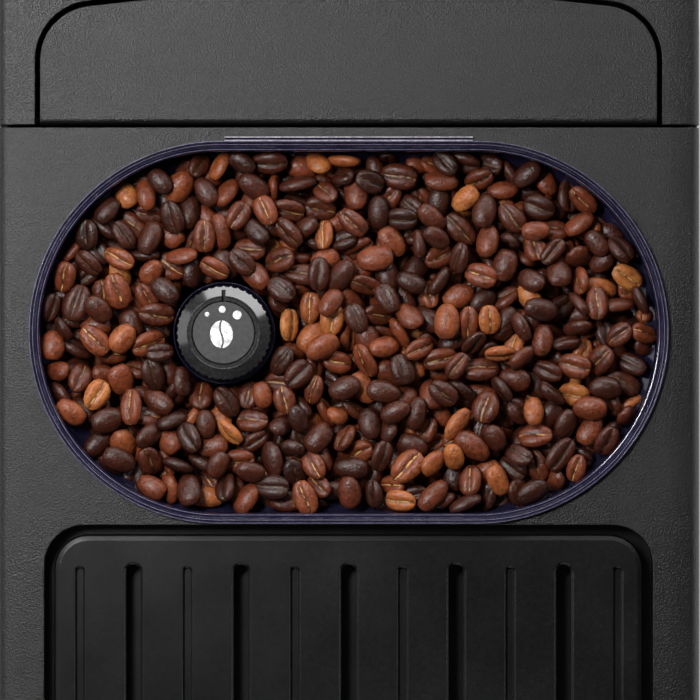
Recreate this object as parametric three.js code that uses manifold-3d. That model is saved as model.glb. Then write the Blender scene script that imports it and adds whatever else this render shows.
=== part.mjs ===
// Compact bean to cup coffee machine. Millimetres, +Z up, front -Y.
// The origin lies on the surface that the machine stands on, under the middle of its outline.
import * as THREE from 'three';
import { mergeVertices } from 'three/addons/utils/BufferGeometryUtils.js';
import Module from 'manifold-3d';

const wasm = await Module();
wasm.setup();

// Fits that the whole machine shares
const seat = 0.2; // between pieces that rest on each other
const play = 0.4; // between pieces that turn or slide
const overrun = 5; // how far a cutter runs past what it cuts
const weld = 0.0001; // points nearer than this are one point

// Body
const bodyWidth = 246;
const bodyDepth = 365; // from the mode knob's face to the rear panel
const bodyHeight = 325; // to the hopper rim
const frontReach = 8; // how far the mode knob and the drip tray stand before the body
const shell = 3; // wall of the casing
const edgeRound = 4; // long top edges of the covers
const coverLip = 12; // how far the covers turn down
const rearDeckDepth = 65.1; // from the seam between the covers to the rear face
const seam = 1.1; // width of the open seams on top
const footHeight = 6;
const footRadius = 10;
const footInset = 24;

// Cup bay
const overhangHeight = 123; // from the covers' top down to the cup bay
const bayBackFromFront = 105;
const cheekHeight = 44; // side panels beside the drip tray, above the base

// Hopper and beans
const hopperSideMargin = 11; // hopper rim to the machine's side
const hopperWidth = 136.5;
const hopperFromSeam = 72.4; // hopper centre to the seam
const rimHeight = 2;
const rimFlange = 2.65; // rim past the hopper wall
const hopperWall = 1.8;
const hopperStraightDepth = 13;
const hopperDepth = 63; // rim to throat
const throatRadius = 20;
const throatLength = 12;
const ledgeLength = 88.5;
const ledgeDepth = 3.2;
const ledgeInset = 0.9; // ledge past the rim
const beanDrop = 9; // beans below the rim
const beanRelief = 4.4; // how deep the gaps between the top beans go
const beanLength = 11;
const beanWidth = 8.4;
const beanHeight = 6.4;
const beanPitch = 12.6; // between neighbours in the top layer
const beanWallGap = 1.8; // from the top layer to the hopper's wall

// Grind knob
const knobRadius = 16.8;
const knobTeeth = 40;
const knobToothDepth = 0.7;
const knobHeight = 13;
const knobDrop = 1; // knob cap below the rim
const shoulderDrop = 3;
const shoulderRadius = 12.7;
const capRadius = 10.8;
const capThickness = 2.4;
const capStemRadius = 3;
const sleeveRadius = 7;
const sleeveWall = 2.4;
const collarWall = 1.6;
const collarBelowKnob = 3;
const notchWidth = 1.4;
const notchDepth = 1.2;

// Grinder
const gearModule = 2.6;
const knobPinionTeeth = 10;
const carrierTeeth = 30;
const settingGearWidth = 6;
const carrierSkirt = 22;
const carrierRadius = 33;
const burrRadius = 30;
const burrHeight = 13.6;
const burrMouth = 23;
const burrThroat = 20;
const coneRadius = 18.6;
const coneTop = 8;
const coneHeight = 22;
const shaftRadius = 4;
const driveModule = 1.6;
const driveTeeth = 36;
const motorTeeth = 9;
const driveGearWidth = 6;
const housingWall = 11.6;
const housingFloor = 6;
const chamberDepth = 36; // grind chamber below the setting gear
const gearboxDepth = 16;
const housingLegRadius = 5;
const grinderMotorRadius = 18;
const grinderMotorGap = 28.6; // motor above the deck

// Brew unit
const brewFromGrinder = 76;
const brewRadius = 28;
const brewWall = 4;
const chuteDrop = 30; // brew cylinder's top below the grind chamber
const brewPlate = 3;
const brewPlateWidth = 44;
const brewBase = 4;
const pistonHeight = 12;
const pistonRodRadius = 7;
const screwRadius = 4;
const brewMotorRadius = 17;
const brewMotorLength = 66;
const chuteWidth = 26;
const chuteHeight = 14;
const chuteWall = 2;

// Inner deck
const deckTop = 103;
const deckLeg = 8;
const deckSideGap = 3;
const puckHole = 34;

// Grounds drawer
const drawerSideGap = 49.8; // drawer to the side panels
const drawerMotorGap = 5.5; // drawer to the brew motor
const drawerBottom = 56;
const drawerHeight = 40;
const drawerWall = 2.2;
const drawerFace = 4;
const drawerLap = 6; // face past the drawer's sides
const runnerWidth = 18;

// Drip tray, grid and float
const trayHeight = 50;
const trayWall = 2.5;
const trayMargin = 0.4;
const railWidth = 3;
const railHeight = 10;
const gridThickness = 3;
const gridLedge = 4; // grid in from the tray's outside
const gridSlots = 9;
const gridSlotWidth = 5;
const gridMargin = 12;
const floatRadius = 10;
const floatStem = 3;
const floatThickness = 4;
const floatInset = 17;

// Water tank and its lid
const tankInset = 1.5; // tank in from the lid's outline
const tankWall = 2.2;
const tankFromWall = 3.9;
const tankShelfTop = 107;
const tankRimDrop = 11; // tank rim below the covers' top
const lidSideMargin = 15; // lid to the machine's side
const lidDepth = 46.9;
const lidCrown = 7.7; // how far the lid's rear edge arches
const lidCorner = 19;
const lidEdge = 2;
const lidGap = 1.8; // open gap round the lid's sides and rear
const lidAxisInset = 8.4;
const lidAxisDrop = 5.4;
const knuckleRadius = 2.2;
const knuckleLength = 7;
const knuckleCentre = 62;
const pinRadius = 1; // pins moulded on the tank's ears
const earWidth = 6;
const earDrop = 20;
const tankWallTopDrop = 16; // bay wall below the covers' top
const spigotRadius = 6;

// Cup tray
const trayWellGap = 1.2; // web between the hopper and the well
const wellSideMargin = 16.4; // well to the machine's side
const wellFrontMargin = 26.3; // well to the machine's front
const wellCorner = 14;
const wellDepth = 12;
const groove = 3.4; // open groove round the tray
const cupTrayCorner = 12;
const cupTrayThickness = 4;
const cupTrayEdge = 2; // rounding of the tray's rim
const cupTrayDrop = 1.2;
const slotPitch = 18.84;
const wideSlots = 5;
const wideSlot = 5;
const wideBevel = 0.9;
const wideStart = 10.6; // from the tray's rear edge
const narrowSlots = 6;
const narrowSlot = 2.5;
const narrowBevel = 0.7;
const narrowDepth = 1.6;
const narrowStart = 11.7;
const slotFrontMargin = 11;
const trayPost = 5;

// Controls
const windowWidth = 64;
const windowHeight = 26;
const windowLeft = -34;
const controlShare = 0.557; // height of the display and knob on the control panel
const modeKnobX = 66;
const modeKnobRadius = 15;
const modeKnobShaft = 3;
const buttonRadius = 7;
const buttonShare = 0.25; // height of the buttons on the control panel
const buttonPitch = 30;
const buttonStem = 2;
const buttonTravel = 1.5;
const boardThickness = 1.6;
const boardSetback = 9;
const boardMargin = 20;
const standoffRadius = 3;

// Coffee outlet
const outletWidth = 60;
const outletDepth = 48;
const outletHeight = 38;
const outletFromBay = 26; // from the bay wall
const outletDrop = 28; // outlet below the overhang at rest
const nozzleRadius = 6;
const nozzleLength = 8;
const nozzleSpread = 15;
const nozzleBore = 3;
const outletRound = 8;
const guideWidth = 32;
const guideDepth = 14;
const guideHeight = 66;

// Steam wand
const wandSideGap = 24.8; // wand to the side panel
const wandFromFront = 52;
const wandBall = 7.6;
const wandBoss = 14;
const wandBossRadius = 12;
const wandTube = 3.5;
const wandTipGap = 42.2; // tip above the drip tray
const tipRadius = 5.5;
const tipLength = 16;

// Pump, thermoblock, boards and hoses
const pumpSideGap = 23.8; // pump's axis to the side panel
const pumpRadius = 15;
const pumpLength = 58;
const pumpBackGap = 11.5; // pump to the tank wall
const pumpFoot = 5;
const pumpFootWidth = 20;
const heaterWidth = 48;
const heaterBayGap = 30; // thermoblock to the bay wall
const heaterPumpGap = 24; // thermoblock before the pump
const heaterHeight = 60;
const heaterSideGap = 7.8; // thermoblock to the side panel
const heaterRound = 6;
const hoseRadius = 3.5;
const hoseHole = 5.5;
const boardHeight = 82;
const mainBoardSideGap = 11.8; // board to the side panel
const mainBoardFrontGap = 34.5; // board to the bay wall
const mainBoardBackGap = 23.5; // board to the tank wall
const chipHeight = 12;
const chipLength = 34;
const chipWidth = 24;
const inletWidth = 28;
const inletHeight = 22;
const inletDepth = 18;
const inletSideGap = 27.8; // inlet's middle to the side panel
const inletZ = 36;
const inletMouth = 12;

// Places that follow from the sizes above
const right = bodyWidth / 2;
const rear = bodyDepth / 2;
const bodyFront = frontReach - bodyDepth / 2;
const coverTop = bodyHeight - rimHeight;
const coverUnder = coverTop - shell;
const lipBottom = coverTop - coverLip;
const seamY = rear - rearDeckDepth;
const sideInner = right - shell - seat;
const baseTop = footHeight + shell;
const bayBack = bodyFront + bayBackFromFront;
const bayFace = bayBack - shell;
const cheekTop = baseTop + cheekHeight;
const bayTop = coverTop - overhangHeight;
const hopperY = seamY - hopperFromSeam;
const hopperEnd = hopperWidth / 2;
const hopperHalfStraight = right - hopperSideMargin - hopperEnd;
const hopperWallRadius = hopperEnd - rimFlange;
const hopperOpening = hopperWallRadius + play;
const knobX = -hopperHalfStraight;
const knobTop = bodyHeight - knobDrop;
const pinionRadius = gearModule * knobPinionTeeth / 2;
const carrierPitch = gearModule * carrierTeeth / 2;
const grinderX = knobX + pinionRadius + carrierPitch;
const throatTop = bodyHeight - hopperDepth;
const throatBottom = throatTop - throatLength;
const throatOuter = throatRadius + hopperWall;
const settingTop = throatBottom + settingGearWidth;
const housingTop = throatBottom - seat;
const chamberRadius = carrierRadius + play;
const housingRadius = chamberRadius + housingWall;
const chamberFloor = housingTop - chamberDepth;
const gearboxTop = chamberFloor - housingFloor;
const housingBottom = gearboxTop - gearboxDepth;
const motorX = grinderX + driveModule * (driveTeeth + motorTeeth) / 2;
const driveTip = driveModule * (driveTeeth / 2 + 1);
const motorTip = driveModule * (motorTeeth / 2 + 1);
const driveGearBottom = housingBottom + play * 2;
const brewX = grinderX - brewFromGrinder;
const deckBottom = deckTop - shell;
const brewBottom = deckTop + seat + brewBase;
const brewTop = chamberFloor - chuteDrop;
const drawerBack = hopperY - brewMotorRadius - drawerMotorGap;
const drawerTop = drawerBottom + drawerHeight;
const drawerWidth = (sideInner - drawerSideGap) * 2;
const trayHalf = sideInner - railWidth - trayMargin - play;
const tankWallY = seamY + seam;
const tankFront = tankWallY + shell + tankFromWall;
const tankBack = seamY + seam / 2 + lidDepth - tankInset;
const tankRim = coverTop - tankRimDrop;
const lidWidth = (right - lidSideMargin) * 2;
const pumpX = sideInner - pumpSideGap;
const pumpY = tankWallY - pumpBackGap - pumpLength / 2;
const pumpFront = pumpY - pumpLength / 2;
const heaterBack = pumpFront - heaterPumpGap;
const heaterFront = bayBack + heaterBayGap;
const heaterY = (heaterFront + heaterBack) / 2;
const heaterX = sideInner - heaterSideGap - heaterWidth / 2;
const mainBoardX = sideInner - mainBoardSideGap;
const mainBoardFront = bayBack + mainBoardFrontGap;
const mainBoardBack = tankWallY - mainBoardBackGap;
const mainBoardY = (mainBoardFront + mainBoardBack) / 2;
const inletX = sideInner - inletSideGap;
const lidFront = seamY + seam / 2;
const lidAxisY = lidFront + lidAxisInset;
const lidAxisZ = coverTop - lidAxisDrop;
const wellRear = hopperY - hopperOpening - trayWellGap;
const wellFront = bodyFront + wellFrontMargin;
const wellWidth = (right - wellSideMargin) * 2;
const wellFloor = coverTop - wellDepth;
const cupTrayTop = coverTop - cupTrayDrop;
const cupTrayRear = wellRear - groove;
const cupTrayFront = wellFront + groove;
const cupTrayHalf = wellWidth / 2 - groove;
const panelBack = bodyFront + shell;
const controlRow = bayTop + (lipBottom - bayTop) * controlShare;
const buttonRow = bayTop + (lipBottom - bayTop) * buttonShare;
const boardFront = panelBack + boardSetback;
const outletBack = bayFace - outletFromBay;
const outletFront = outletBack - outletDepth;
const outletTop = bayTop - outletDrop;
const outletBottom = outletTop - outletHeight;
const outletRest = outletBottom - nozzleLength;
const wandY = bodyFront + wandFromFront;
const wandZ = bayTop - wandBoss + play * 3;
const wandX = sideInner - wandSideGap;
const wandLength = wandZ - shell - trayHeight - wandTipGap;
const footX = right - footInset;
const footFront = bodyFront + footInset;
const footRear = rear - footInset;
const hopperPoints = 40; // round the hopper's outline

// Colours and finishes
function plastic(color, roughness = 0.6) {
  return new THREE.MeshStandardMaterial({ color, roughness, metalness: 0 });
}
function metal(color, roughness = 0.35) {
  return new THREE.MeshStandardMaterial({ color, roughness, metalness: 1 });
}
function clear(color, opacity) {
  const material = plastic(color, 0.1);
  material.transparent = true;
  material.opacity = opacity;
  return material;
}
const casingGrey = 0x3a3c3d;
const trayBlack = 0x1c1d1e;
const gloss = 0x101112;
const steel = 0xb8bbbe;
const darkSteel = 0x7d8184;
const nylon = 0xdedcd2;
const smoke = 0x2b2d4a;
const beanBrown = 0x4a2a1a;
const boardGreen = 0x1f5a38;
const rubberBlack = 0x161616;

// Solids from three.js geometry
function solid(geometry) {
  const loose = geometry.index ? geometry.toNonIndexed() : geometry.clone();
  loose.deleteAttribute('normal');
  loose.deleteAttribute('uv');
  const welded = mergeVertices(loose, weld);
  const mesh = new wasm.Mesh({
    numProp: 3,
    vertProperties: new Float32Array(welded.attributes.position.array),
    triVerts: new Uint32Array(welded.index.array),
  });
  mesh.merge();
  return new wasm.Manifold(mesh);
}
function geometryOf(shape) {
  const mesh = shape.getMesh();
  const geometry = new THREE.BufferGeometry();
  geometry.setAttribute('position', new THREE.BufferAttribute(mesh.vertProperties, 3));
  geometry.setIndex(new THREE.BufferAttribute(mesh.triVerts, 1));
  geometry.computeVertexNormals();
  return geometry;
}
function joined(...shapes) {
  return shapes.reduce((whole, shape) => whole.add(shape));
}
function cut(shape, ...tools) {
  return tools.reduce((rest, tool) => rest.subtract(tool), shape);
}
function box(x0, x1, y0, y1, z0, z1) {
  const geometry = new THREE.BoxGeometry(x1 - x0, y1 - y0, z1 - z0);
  geometry.translate((x0 + x1) / 2, (y0 + y1) / 2, (z0 + z1) / 2);
  return solid(geometry);
}
// A flat outline in X and Y, raised from z0 to z1
function plate(shape, z0, z1, segments = 12) {
  const options = { depth: z1 - z0, bevelEnabled: false, curveSegments: segments };
  const geometry = new THREE.ExtrudeGeometry(shape, options);
  geometry.translate(0, 0, z0);
  return solid(geometry);
}
// A flat outline in Y and Z, from x0 to x1
function sidePlate(shape, x0, x1, segments = 12) {
  const options = { depth: x1 - x0, bevelEnabled: false, curveSegments: segments };
  const geometry = new THREE.ExtrudeGeometry(shape, options);
  geometry.rotateY(Math.PI / 2);
  geometry.rotateX(Math.PI / 2);
  geometry.translate(x0, 0, 0);
  return solid(geometry);
}
// A flat outline in X and Z, from y0 to y1
function facePlate(shape, y0, y1, segments = 12) {
  const options = { depth: y1 - y0, bevelEnabled: false, curveSegments: segments };
  const geometry = new THREE.ExtrudeGeometry(shape, options);
  geometry.rotateX(Math.PI / 2);
  geometry.translate(0, y1, 0);
  return solid(geometry);
}
function rod(x, y, z0, z1, radius, topRadius = radius, sides = 16) {
  const geometry = new THREE.CylinderGeometry(topRadius, radius, z1 - z0, sides);
  geometry.rotateX(Math.PI / 2);
  geometry.translate(x, y, (z0 + z1) / 2);
  return solid(geometry);
}
function rodAlongY(x, z, y0, y1, radius, sides = 16) {
  const geometry = new THREE.CylinderGeometry(radius, radius, y1 - y0, sides);
  geometry.translate(x, (y0 + y1) / 2, z);
  return solid(geometry);
}
function rodAlongX(y, z, x0, x1, radius, sides = 12) {
  const geometry = new THREE.CylinderGeometry(radius, radius, x1 - x0, sides);
  geometry.rotateZ(Math.PI / 2);
  geometry.translate((x0 + x1) / 2, y, z);
  return solid(geometry);
}
function polygon(points) {
  return new THREE.Shape(points.map(([a, b]) => new THREE.Vector2(a, b)));
}
function stadium(halfStraight, radius, y) {
  const shape = new THREE.Shape();
  shape.absarc(halfStraight, y, radius, -Math.PI / 2, Math.PI / 2);
  shape.absarc(-halfStraight, y, radius, Math.PI / 2, Math.PI * 3 / 2);
  return shape;
}
function roundedRectangle(x0, x1, y0, y1, radius) {
  const shape = new THREE.Shape();
  shape.absarc(x1 - radius, y0 + radius, radius, -Math.PI / 2, 0);
  shape.absarc(x1 - radius, y1 - radius, radius, 0, Math.PI / 2);
  shape.absarc(x0 + radius, y1 - radius, radius, Math.PI / 2, Math.PI);
  shape.absarc(x0 + radius, y0 + radius, radius, Math.PI, Math.PI * 3 / 2);
  return shape;
}
// Straight flanked teeth, enough for gears that mesh and turn
const toothShares = [[-0.25, -1], [-0.13, 1], [0.13, 1], [0.25, -1]];
const rootShare = 1.2;
function gear(x, y, z0, z1, module, teeth, startShare = 0) {
  const pitch = module * teeth / 2;
  const points = [];
  for (let tooth = 0; tooth < teeth; tooth += 1) {
    for (const [turnShare, sideShare] of toothShares) {
      const turn = (tooth + startShare + turnShare) / teeth * Math.PI * 2;
      const height = sideShare < 0 ? -rootShare : sideShare;
      const radius = pitch + height * module;
      points.push([x + radius * Math.cos(turn), y + radius * Math.sin(turn)]);
    }
  }
  return plate(polygon(points), z0, z1);
}
// A closed skin through rings of equal count, the last ring joined to the first or capped
function loft(rings, closed) {
  const count = rings[0].length;
  const positions = rings.flat().flat();
  const faces = [];
  const last = closed ? rings.length : rings.length - 1;
  for (let ring = 0; ring < last; ring += 1) {
    const next = (ring + 1) % rings.length;
    for (let i = 0; i < count; i += 1) {
      const j = (i + 1) % count;
      faces.push(ring * count + i, ring * count + j, next * count + j);
      faces.push(ring * count + i, next * count + j, next * count + i);
    }
  }
  if (!closed) {
    for (const [ring, flip] of [[0, true], [rings.length - 1, false]]) {
      const flat = rings[ring].map(([px, py]) => new THREE.Vector2(px, py));
      for (const [a, b, c] of THREE.ShapeUtils.triangulateShape(flat, [])) {
        const base = ring * count;
        faces.push(base + a, base + (flip ? c : b), base + (flip ? b : c));
      }
    }
  }
  const geometry = new THREE.BufferGeometry();
  geometry.setAttribute('position', new THREE.Float32BufferAttribute(positions, 3));
  geometry.setIndex(faces);
  return solid(geometry);
}

// The machine, filled by the sections below
const machine = new THREE.Group();
function add(name, shape, material) {
  const mesh = new THREE.Mesh(geometryOf(shape), material);
  mesh.name = name;
  machine.add(mesh);
  return shape;
}

// Casing
function coverBand(y0, y1) {
  const outline = new THREE.Shape();
  outline.moveTo(right, lipBottom);
  outline.lineTo(right, coverTop - edgeRound);
  outline.absarc(right - edgeRound, coverTop - edgeRound, edgeRound, 0, Math.PI / 2);
  outline.absarc(edgeRound - right, coverTop - edgeRound, edgeRound, Math.PI / 2, Math.PI);
  outline.lineTo(-right, lipBottom);
  const inside = box(
    shell - right, right - shell, y0 - overrun, y1 + overrun, lipBottom - overrun, coverUnder,
  );
  return cut(facePlate(outline, y0, y1, 3), inside);
}
function topCover() {
  const frontLip = box(-right + shell, right - shell, bodyFront, bodyFront + shell, lipBottom, coverTop);
  const hopperHole = plate(
    stadium(hopperHalfStraight, hopperOpening, hopperY), coverUnder - overrun, coverTop + overrun,
    hopperPoints / 2,
  );
  const wellHole = plate(
    roundedRectangle(-wellWidth / 2, wellWidth / 2, wellFront, wellRear, wellCorner),
    coverUnder - overrun, coverTop + overrun, 4,
  );
  return cut(joined(coverBand(bodyFront, seamY - seam / 2), frontLip), hopperHole, wellHole);
}
// The lid's outline: straight front and sides, round corners, and a shallow arch at the rear
function lidOutline(grow) {
  const half = lidWidth / 2 + grow;
  const corner = lidCorner + grow;
  const crown = lidFront + lidDepth + grow;
  const arch = (half * half + lidCrown * lidCrown) / (2 * lidCrown);
  const archY = crown - arch;
  const reach = arch - corner;
  const cornerX = half - corner;
  const cornerY = archY + Math.sqrt(reach * reach - cornerX * cornerX);
  const lean = Math.atan2(cornerY - archY, cornerX);
  const shape = new THREE.Shape();
  shape.moveTo(-half, lidFront - Math.min(grow, 0));
  shape.lineTo(half, lidFront - Math.min(grow, 0));
  shape.absarc(cornerX, cornerY, corner, 0, lean);
  shape.absarc(0, archY, arch, lean, Math.PI - lean);
  shape.absarc(-cornerX, cornerY, corner, Math.PI - lean, Math.PI);
  return shape;
}
// The rear cover is in two halves that meet behind the lid
function rearTopCover(side) {
  const rearLip = box(shell - right, right - shell, rear - shell, rear, lipBottom, coverTop);
  const hole = plate(lidOutline(lidGap), coverUnder - overrun, coverTop + overrun, 6);
  const frontWay = box(
    -lidWidth / 2 - lidGap, lidWidth / 2 + lidGap, seamY - overrun, lidFront + overrun,
    coverUnder - overrun, coverTop + overrun,
  );
  const otherHalf = box(
    side > 0 ? -right - overrun : -seat / 2, side > 0 ? seat / 2 : right + overrun,
    seamY - overrun, rear + overrun, lipBottom - overrun, coverTop + overrun,
  );
  return cut(joined(coverBand(seamY + seam / 2, rear), rearLip), hole, frontWay, otherHalf);
}
function sidePanel(side) {
  const top = lipBottom - seat;
  const front = panelBack + seat;
  const outline = polygon([
    [rear, footHeight], [rear, top], [front, top], [front, bayTop], [bayBack, bayTop],
    [bayBack, cheekTop], [front, cheekTop], [front, footHeight],
  ]);
  return side > 0 ? sidePlate(outline, right - shell, right) : sidePlate(outline, -right, shell - right);
}
const inletHole = box(
  -inletX - inletWidth / 2 - seat, inletWidth / 2 + seat - inletX, rear - inletDepth, rear + overrun,
  inletZ - inletHeight / 2 - seat, inletZ + inletHeight / 2 + seat,
);
function controlPanel() {
  const windowX = windowLeft;
  const windowHole = box(
    windowX - windowWidth / 2 - seat, windowX + windowWidth / 2 + seat, bodyFront - overrun,
    panelBack + overrun,
    controlRow - windowHeight / 2 - seat, controlRow + windowHeight / 2 + seat,
  );
  const shaftHole = rodAlongY(
    modeKnobX, controlRow, bodyFront - overrun, panelBack + overrun, modeKnobShaft + play,
  );
  const buttonHoles = buttonPlaces.map(
    (x) => rodAlongY(x, buttonRow, bodyFront - overrun, panelBack + overrun, buttonRadius + play),
  );
  const panel = box(-right, right, bodyFront, panelBack, bayTop - shell, lipBottom - seat);
  return cut(panel, windowHole, shaftHole, ...buttonHoles);
}
const buttonPlaces = [-1, 0, 1].map((step) => windowLeft + step * buttonPitch);
function bayWall() {
  const half = drawerWidth / 2;
  const hole = box(
    -half - play, half + play, bayFace - overrun, bayBack + overrun, drawerBottom - play, drawerTop + play,
  );
  const wall = cut(box(-sideInner, sideInner, bayFace, bayBack, baseTop + seat, bayTop - seat), hole);
  const runnerBottom = drawerBottom - play - shell;
  const leftRunner = box(-half, runnerWidth - half, bayFace, drawerBack, runnerBottom, drawerBottom - play);
  const rightRunner = box(half - runnerWidth, half, bayFace, drawerBack, runnerBottom, drawerBottom - play);
  return joined(wall, leftRunner, rightRunner);
}
function overhangFloor() {
  const floor = box(-sideInner, sideInner, panelBack + seat, bayBack, bayTop, bayTop + shell);
  const boss = rod(wandX, wandY, bayTop - wandBoss, bayTop + shell, wandBossRadius);
  const guideY = (outletFront + outletBack) / 2;
  const guideHole = box(
    -guideWidth / 2 - play, guideWidth / 2 + play, guideY - guideDepth / 2 - play,
    guideY + guideDepth / 2 + play,
    bayTop - overrun, bayTop + shell + overrun,
  );
  const socket = rod(wandX, wandY, bayTop - wandBoss - overrun, bayTop + shell + overrun, wandBall + play);
  return cut(joined(floor, boss), guideHole, socket);
}
function basePan() {
  const floor = box(-sideInner, sideInner, panelBack, rear - shell - seat, footHeight, baseTop);
  const railOuter = sideInner - trayMargin;
  const rails = [-1, 1].map((side) => {
    const x = side * (railOuter - railWidth / 2);
    return box(
      x - railWidth / 2, x + railWidth / 2, panelBack, bayFace - seat, baseTop - seat, baseTop + railHeight,
    );
  });
  return joined(floor, ...rails);
}
function tankBayWall() {
  const wallTop = coverTop - tankWallTopDrop;
  const wall = box(-sideInner, sideInner, tankWallY, tankWallY + shell, baseTop + seat, wallTop);
  const shelf = box(
    -sideInner, sideInner, tankWallY, rear - shell - seat, tankShelfTop - shell, tankShelfTop,
  );
  const spigotHole = rod(
    pumpX, (tankFront + tankBack) / 2, deckBottom - overrun, tankShelfTop + overrun,
    spigotRadius + play, spigotRadius + play, 16,
  );
  return cut(joined(wall, shelf), spigotHole);
}
function innerDeck() {
  const front = bayBack + seat;
  const back = tankWallY - seat;
  const half = sideInner - deckSideGap;
  const floor = box(-half, half, front, back, deckBottom, deckTop);
  const legs = [];
  for (const x of [-half, half - deckLeg]) {
    for (const y of [front, back - deckLeg]) {
      legs.push(box(x, x + deckLeg, y, y + deckLeg, baseTop + seat, deckTop));
    }
  }
  const screwHole = rod(
    brewX, hopperY, deckBottom - overrun, deckTop + overrun, screwRadius + play, screwRadius + play, 16,
  );
  const hoseWay = rod(pumpX, heaterY, deckBottom - overrun, deckTop + overrun, hoseHole, hoseHole, 16);
  const puckBack = hopperY - brewRadius - brewPlate - play;
  const puckWay = box(
    brewX - puckHole / 2, brewX + puckHole / 2, puckBack - puckHole, puckBack, deckBottom - overrun,
    deckTop + overrun,
  );
  return cut(joined(floor, ...legs), screwHole, hoseWay, puckWay);
}

add('base_pan', basePan(), plastic(trayBlack));
for (const [name, x, y] of [
  ['foot_front_left', -footX, footFront], ['foot_front_right', footX, footFront],
  ['foot_rear_left', -footX, footRear], ['foot_rear_right', footX, footRear],
]) {
  add(name, rod(x, y, 0, footHeight - seat, footRadius), plastic(rubberBlack, 0.9));
}
add('left_side_panel', sidePanel(-1), plastic(casingGrey));
add('right_side_panel', sidePanel(1), plastic(casingGrey));
const rearPlate = box(-sideInner, sideInner, rear - shell, rear, footHeight, lipBottom - seat);
add('rear_panel', cut(rearPlate, inletHole), plastic(casingGrey));
add('top_cover', topCover(), plastic(casingGrey));
add('rear_top_cover_left', rearTopCover(-1), plastic(casingGrey));
add('rear_top_cover_right', rearTopCover(1), plastic(casingGrey));
add('control_panel', controlPanel(), plastic(gloss, 0.3));
add('bay_wall', bayWall(), plastic(casingGrey));
add('overhang_floor', overhangFloor(), plastic(casingGrey));
add('inner_deck', innerDeck(), plastic(trayBlack));
add('tank_bay_wall', tankBayWall(), plastic(trayBlack));

// Cup tray and the well that it lies in
function slotShape(x, halfWidth, y0, y1) {
  return roundedRectangle(x - halfWidth, x + halfWidth, y0, y1, halfWidth);
}
// A slot with sloped edges at its mouth, down to the given floor
function slotTool(x, halfWidth, bevel, y0, y1, floor) {
  const ring = (half, z) => {
    const flat = slotShape(x, half, y0 - (half - halfWidth), y1 + (half - halfWidth)).getPoints(2);
    const open = flat[0].distanceTo(flat[flat.length - 1]) < weld ? flat.slice(0, -1) : flat;
    return open.map((point) => [point.x, point.y, z]);
  };
  const top = cupTrayTop;
  return loft([
    ring(halfWidth, floor), ring(halfWidth, top - bevel), ring(halfWidth + bevel, top),
    ring(halfWidth + bevel, top + overrun),
  ], false);
}
function cupTray() {
  const bottom = cupTrayTop - cupTrayThickness;
  const rim = (inset, z) => {
    const flat = roundedRectangle(
      inset - cupTrayHalf, cupTrayHalf - inset, cupTrayFront + inset, cupTrayRear - inset,
      cupTrayCorner - inset,
    ).getPoints(4);
    const open = flat[0].distanceTo(flat[flat.length - 1]) < weld ? flat.slice(0, -1) : flat;
    return open.map((point) => [point.x, point.y, z]);
  };
  const rings = [rim(0, bottom)];
  for (const turnShare of [0, 0.5, 1]) {
    const turn = turnShare * Math.PI / 2;
    rings.push(rim(cupTrayEdge * (1 - Math.cos(turn)), cupTrayTop - cupTrayEdge * (1 - Math.sin(turn))));
  }
  const posts = [];
  for (const x of [-1, 1]) {
    for (const y of [cupTrayFront + cupTrayCorner, cupTrayRear - cupTrayCorner]) {
      posts.push(rod(
        x * (cupTrayHalf - cupTrayCorner), y, wellFloor + shell + seat, bottom + seat,
        trayPost, trayPost, 8,
      ));
    }
  }
  const tools = [];
  const slotEnd = cupTrayFront + slotFrontMargin;
  for (let i = 0; i < wideSlots; i += 1) {
    const x = (i - (wideSlots - 1) / 2) * slotPitch * 2;
    tools.push(slotTool(x, wideSlot / 2, wideBevel, slotEnd, cupTrayRear - wideStart, bottom - overrun));
  }
  for (let i = 0; i < narrowSlots; i += 1) {
    const x = (i - (narrowSlots - 1) / 2) * slotPitch * 2;
    tools.push(slotTool(
      x, narrowSlot / 2, narrowBevel, slotEnd, cupTrayRear - narrowStart, cupTrayTop - narrowDepth,
    ));
  }
  return cut(joined(loft(rings, false), ...posts), ...tools);
}
function trayWell() {
  const outer = roundedRectangle(
    -wellWidth / 2 - shell, wellWidth / 2 + shell, wellFront - shell, wellRear + shell, wellCorner + shell,
  );
  const inner = roundedRectangle(-wellWidth / 2, wellWidth / 2, wellFront, wellRear, wellCorner);
  const tub = cut(
    plate(outer, wellFloor, coverUnder - seat, 4), plate(inner, wellFloor + shell, coverTop, 4),
  );
  const hopperRoom = plate(
    stadium(hopperHalfStraight, hopperOpening, hopperY), wellFloor - overrun, coverTop, hopperPoints / 2,
  );
  return cut(tub, hopperRoom);
}
add('cup_tray', cupTray(), plastic(trayBlack, 0.55));
add('tray_well', trayWell(), plastic(trayBlack));

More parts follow.
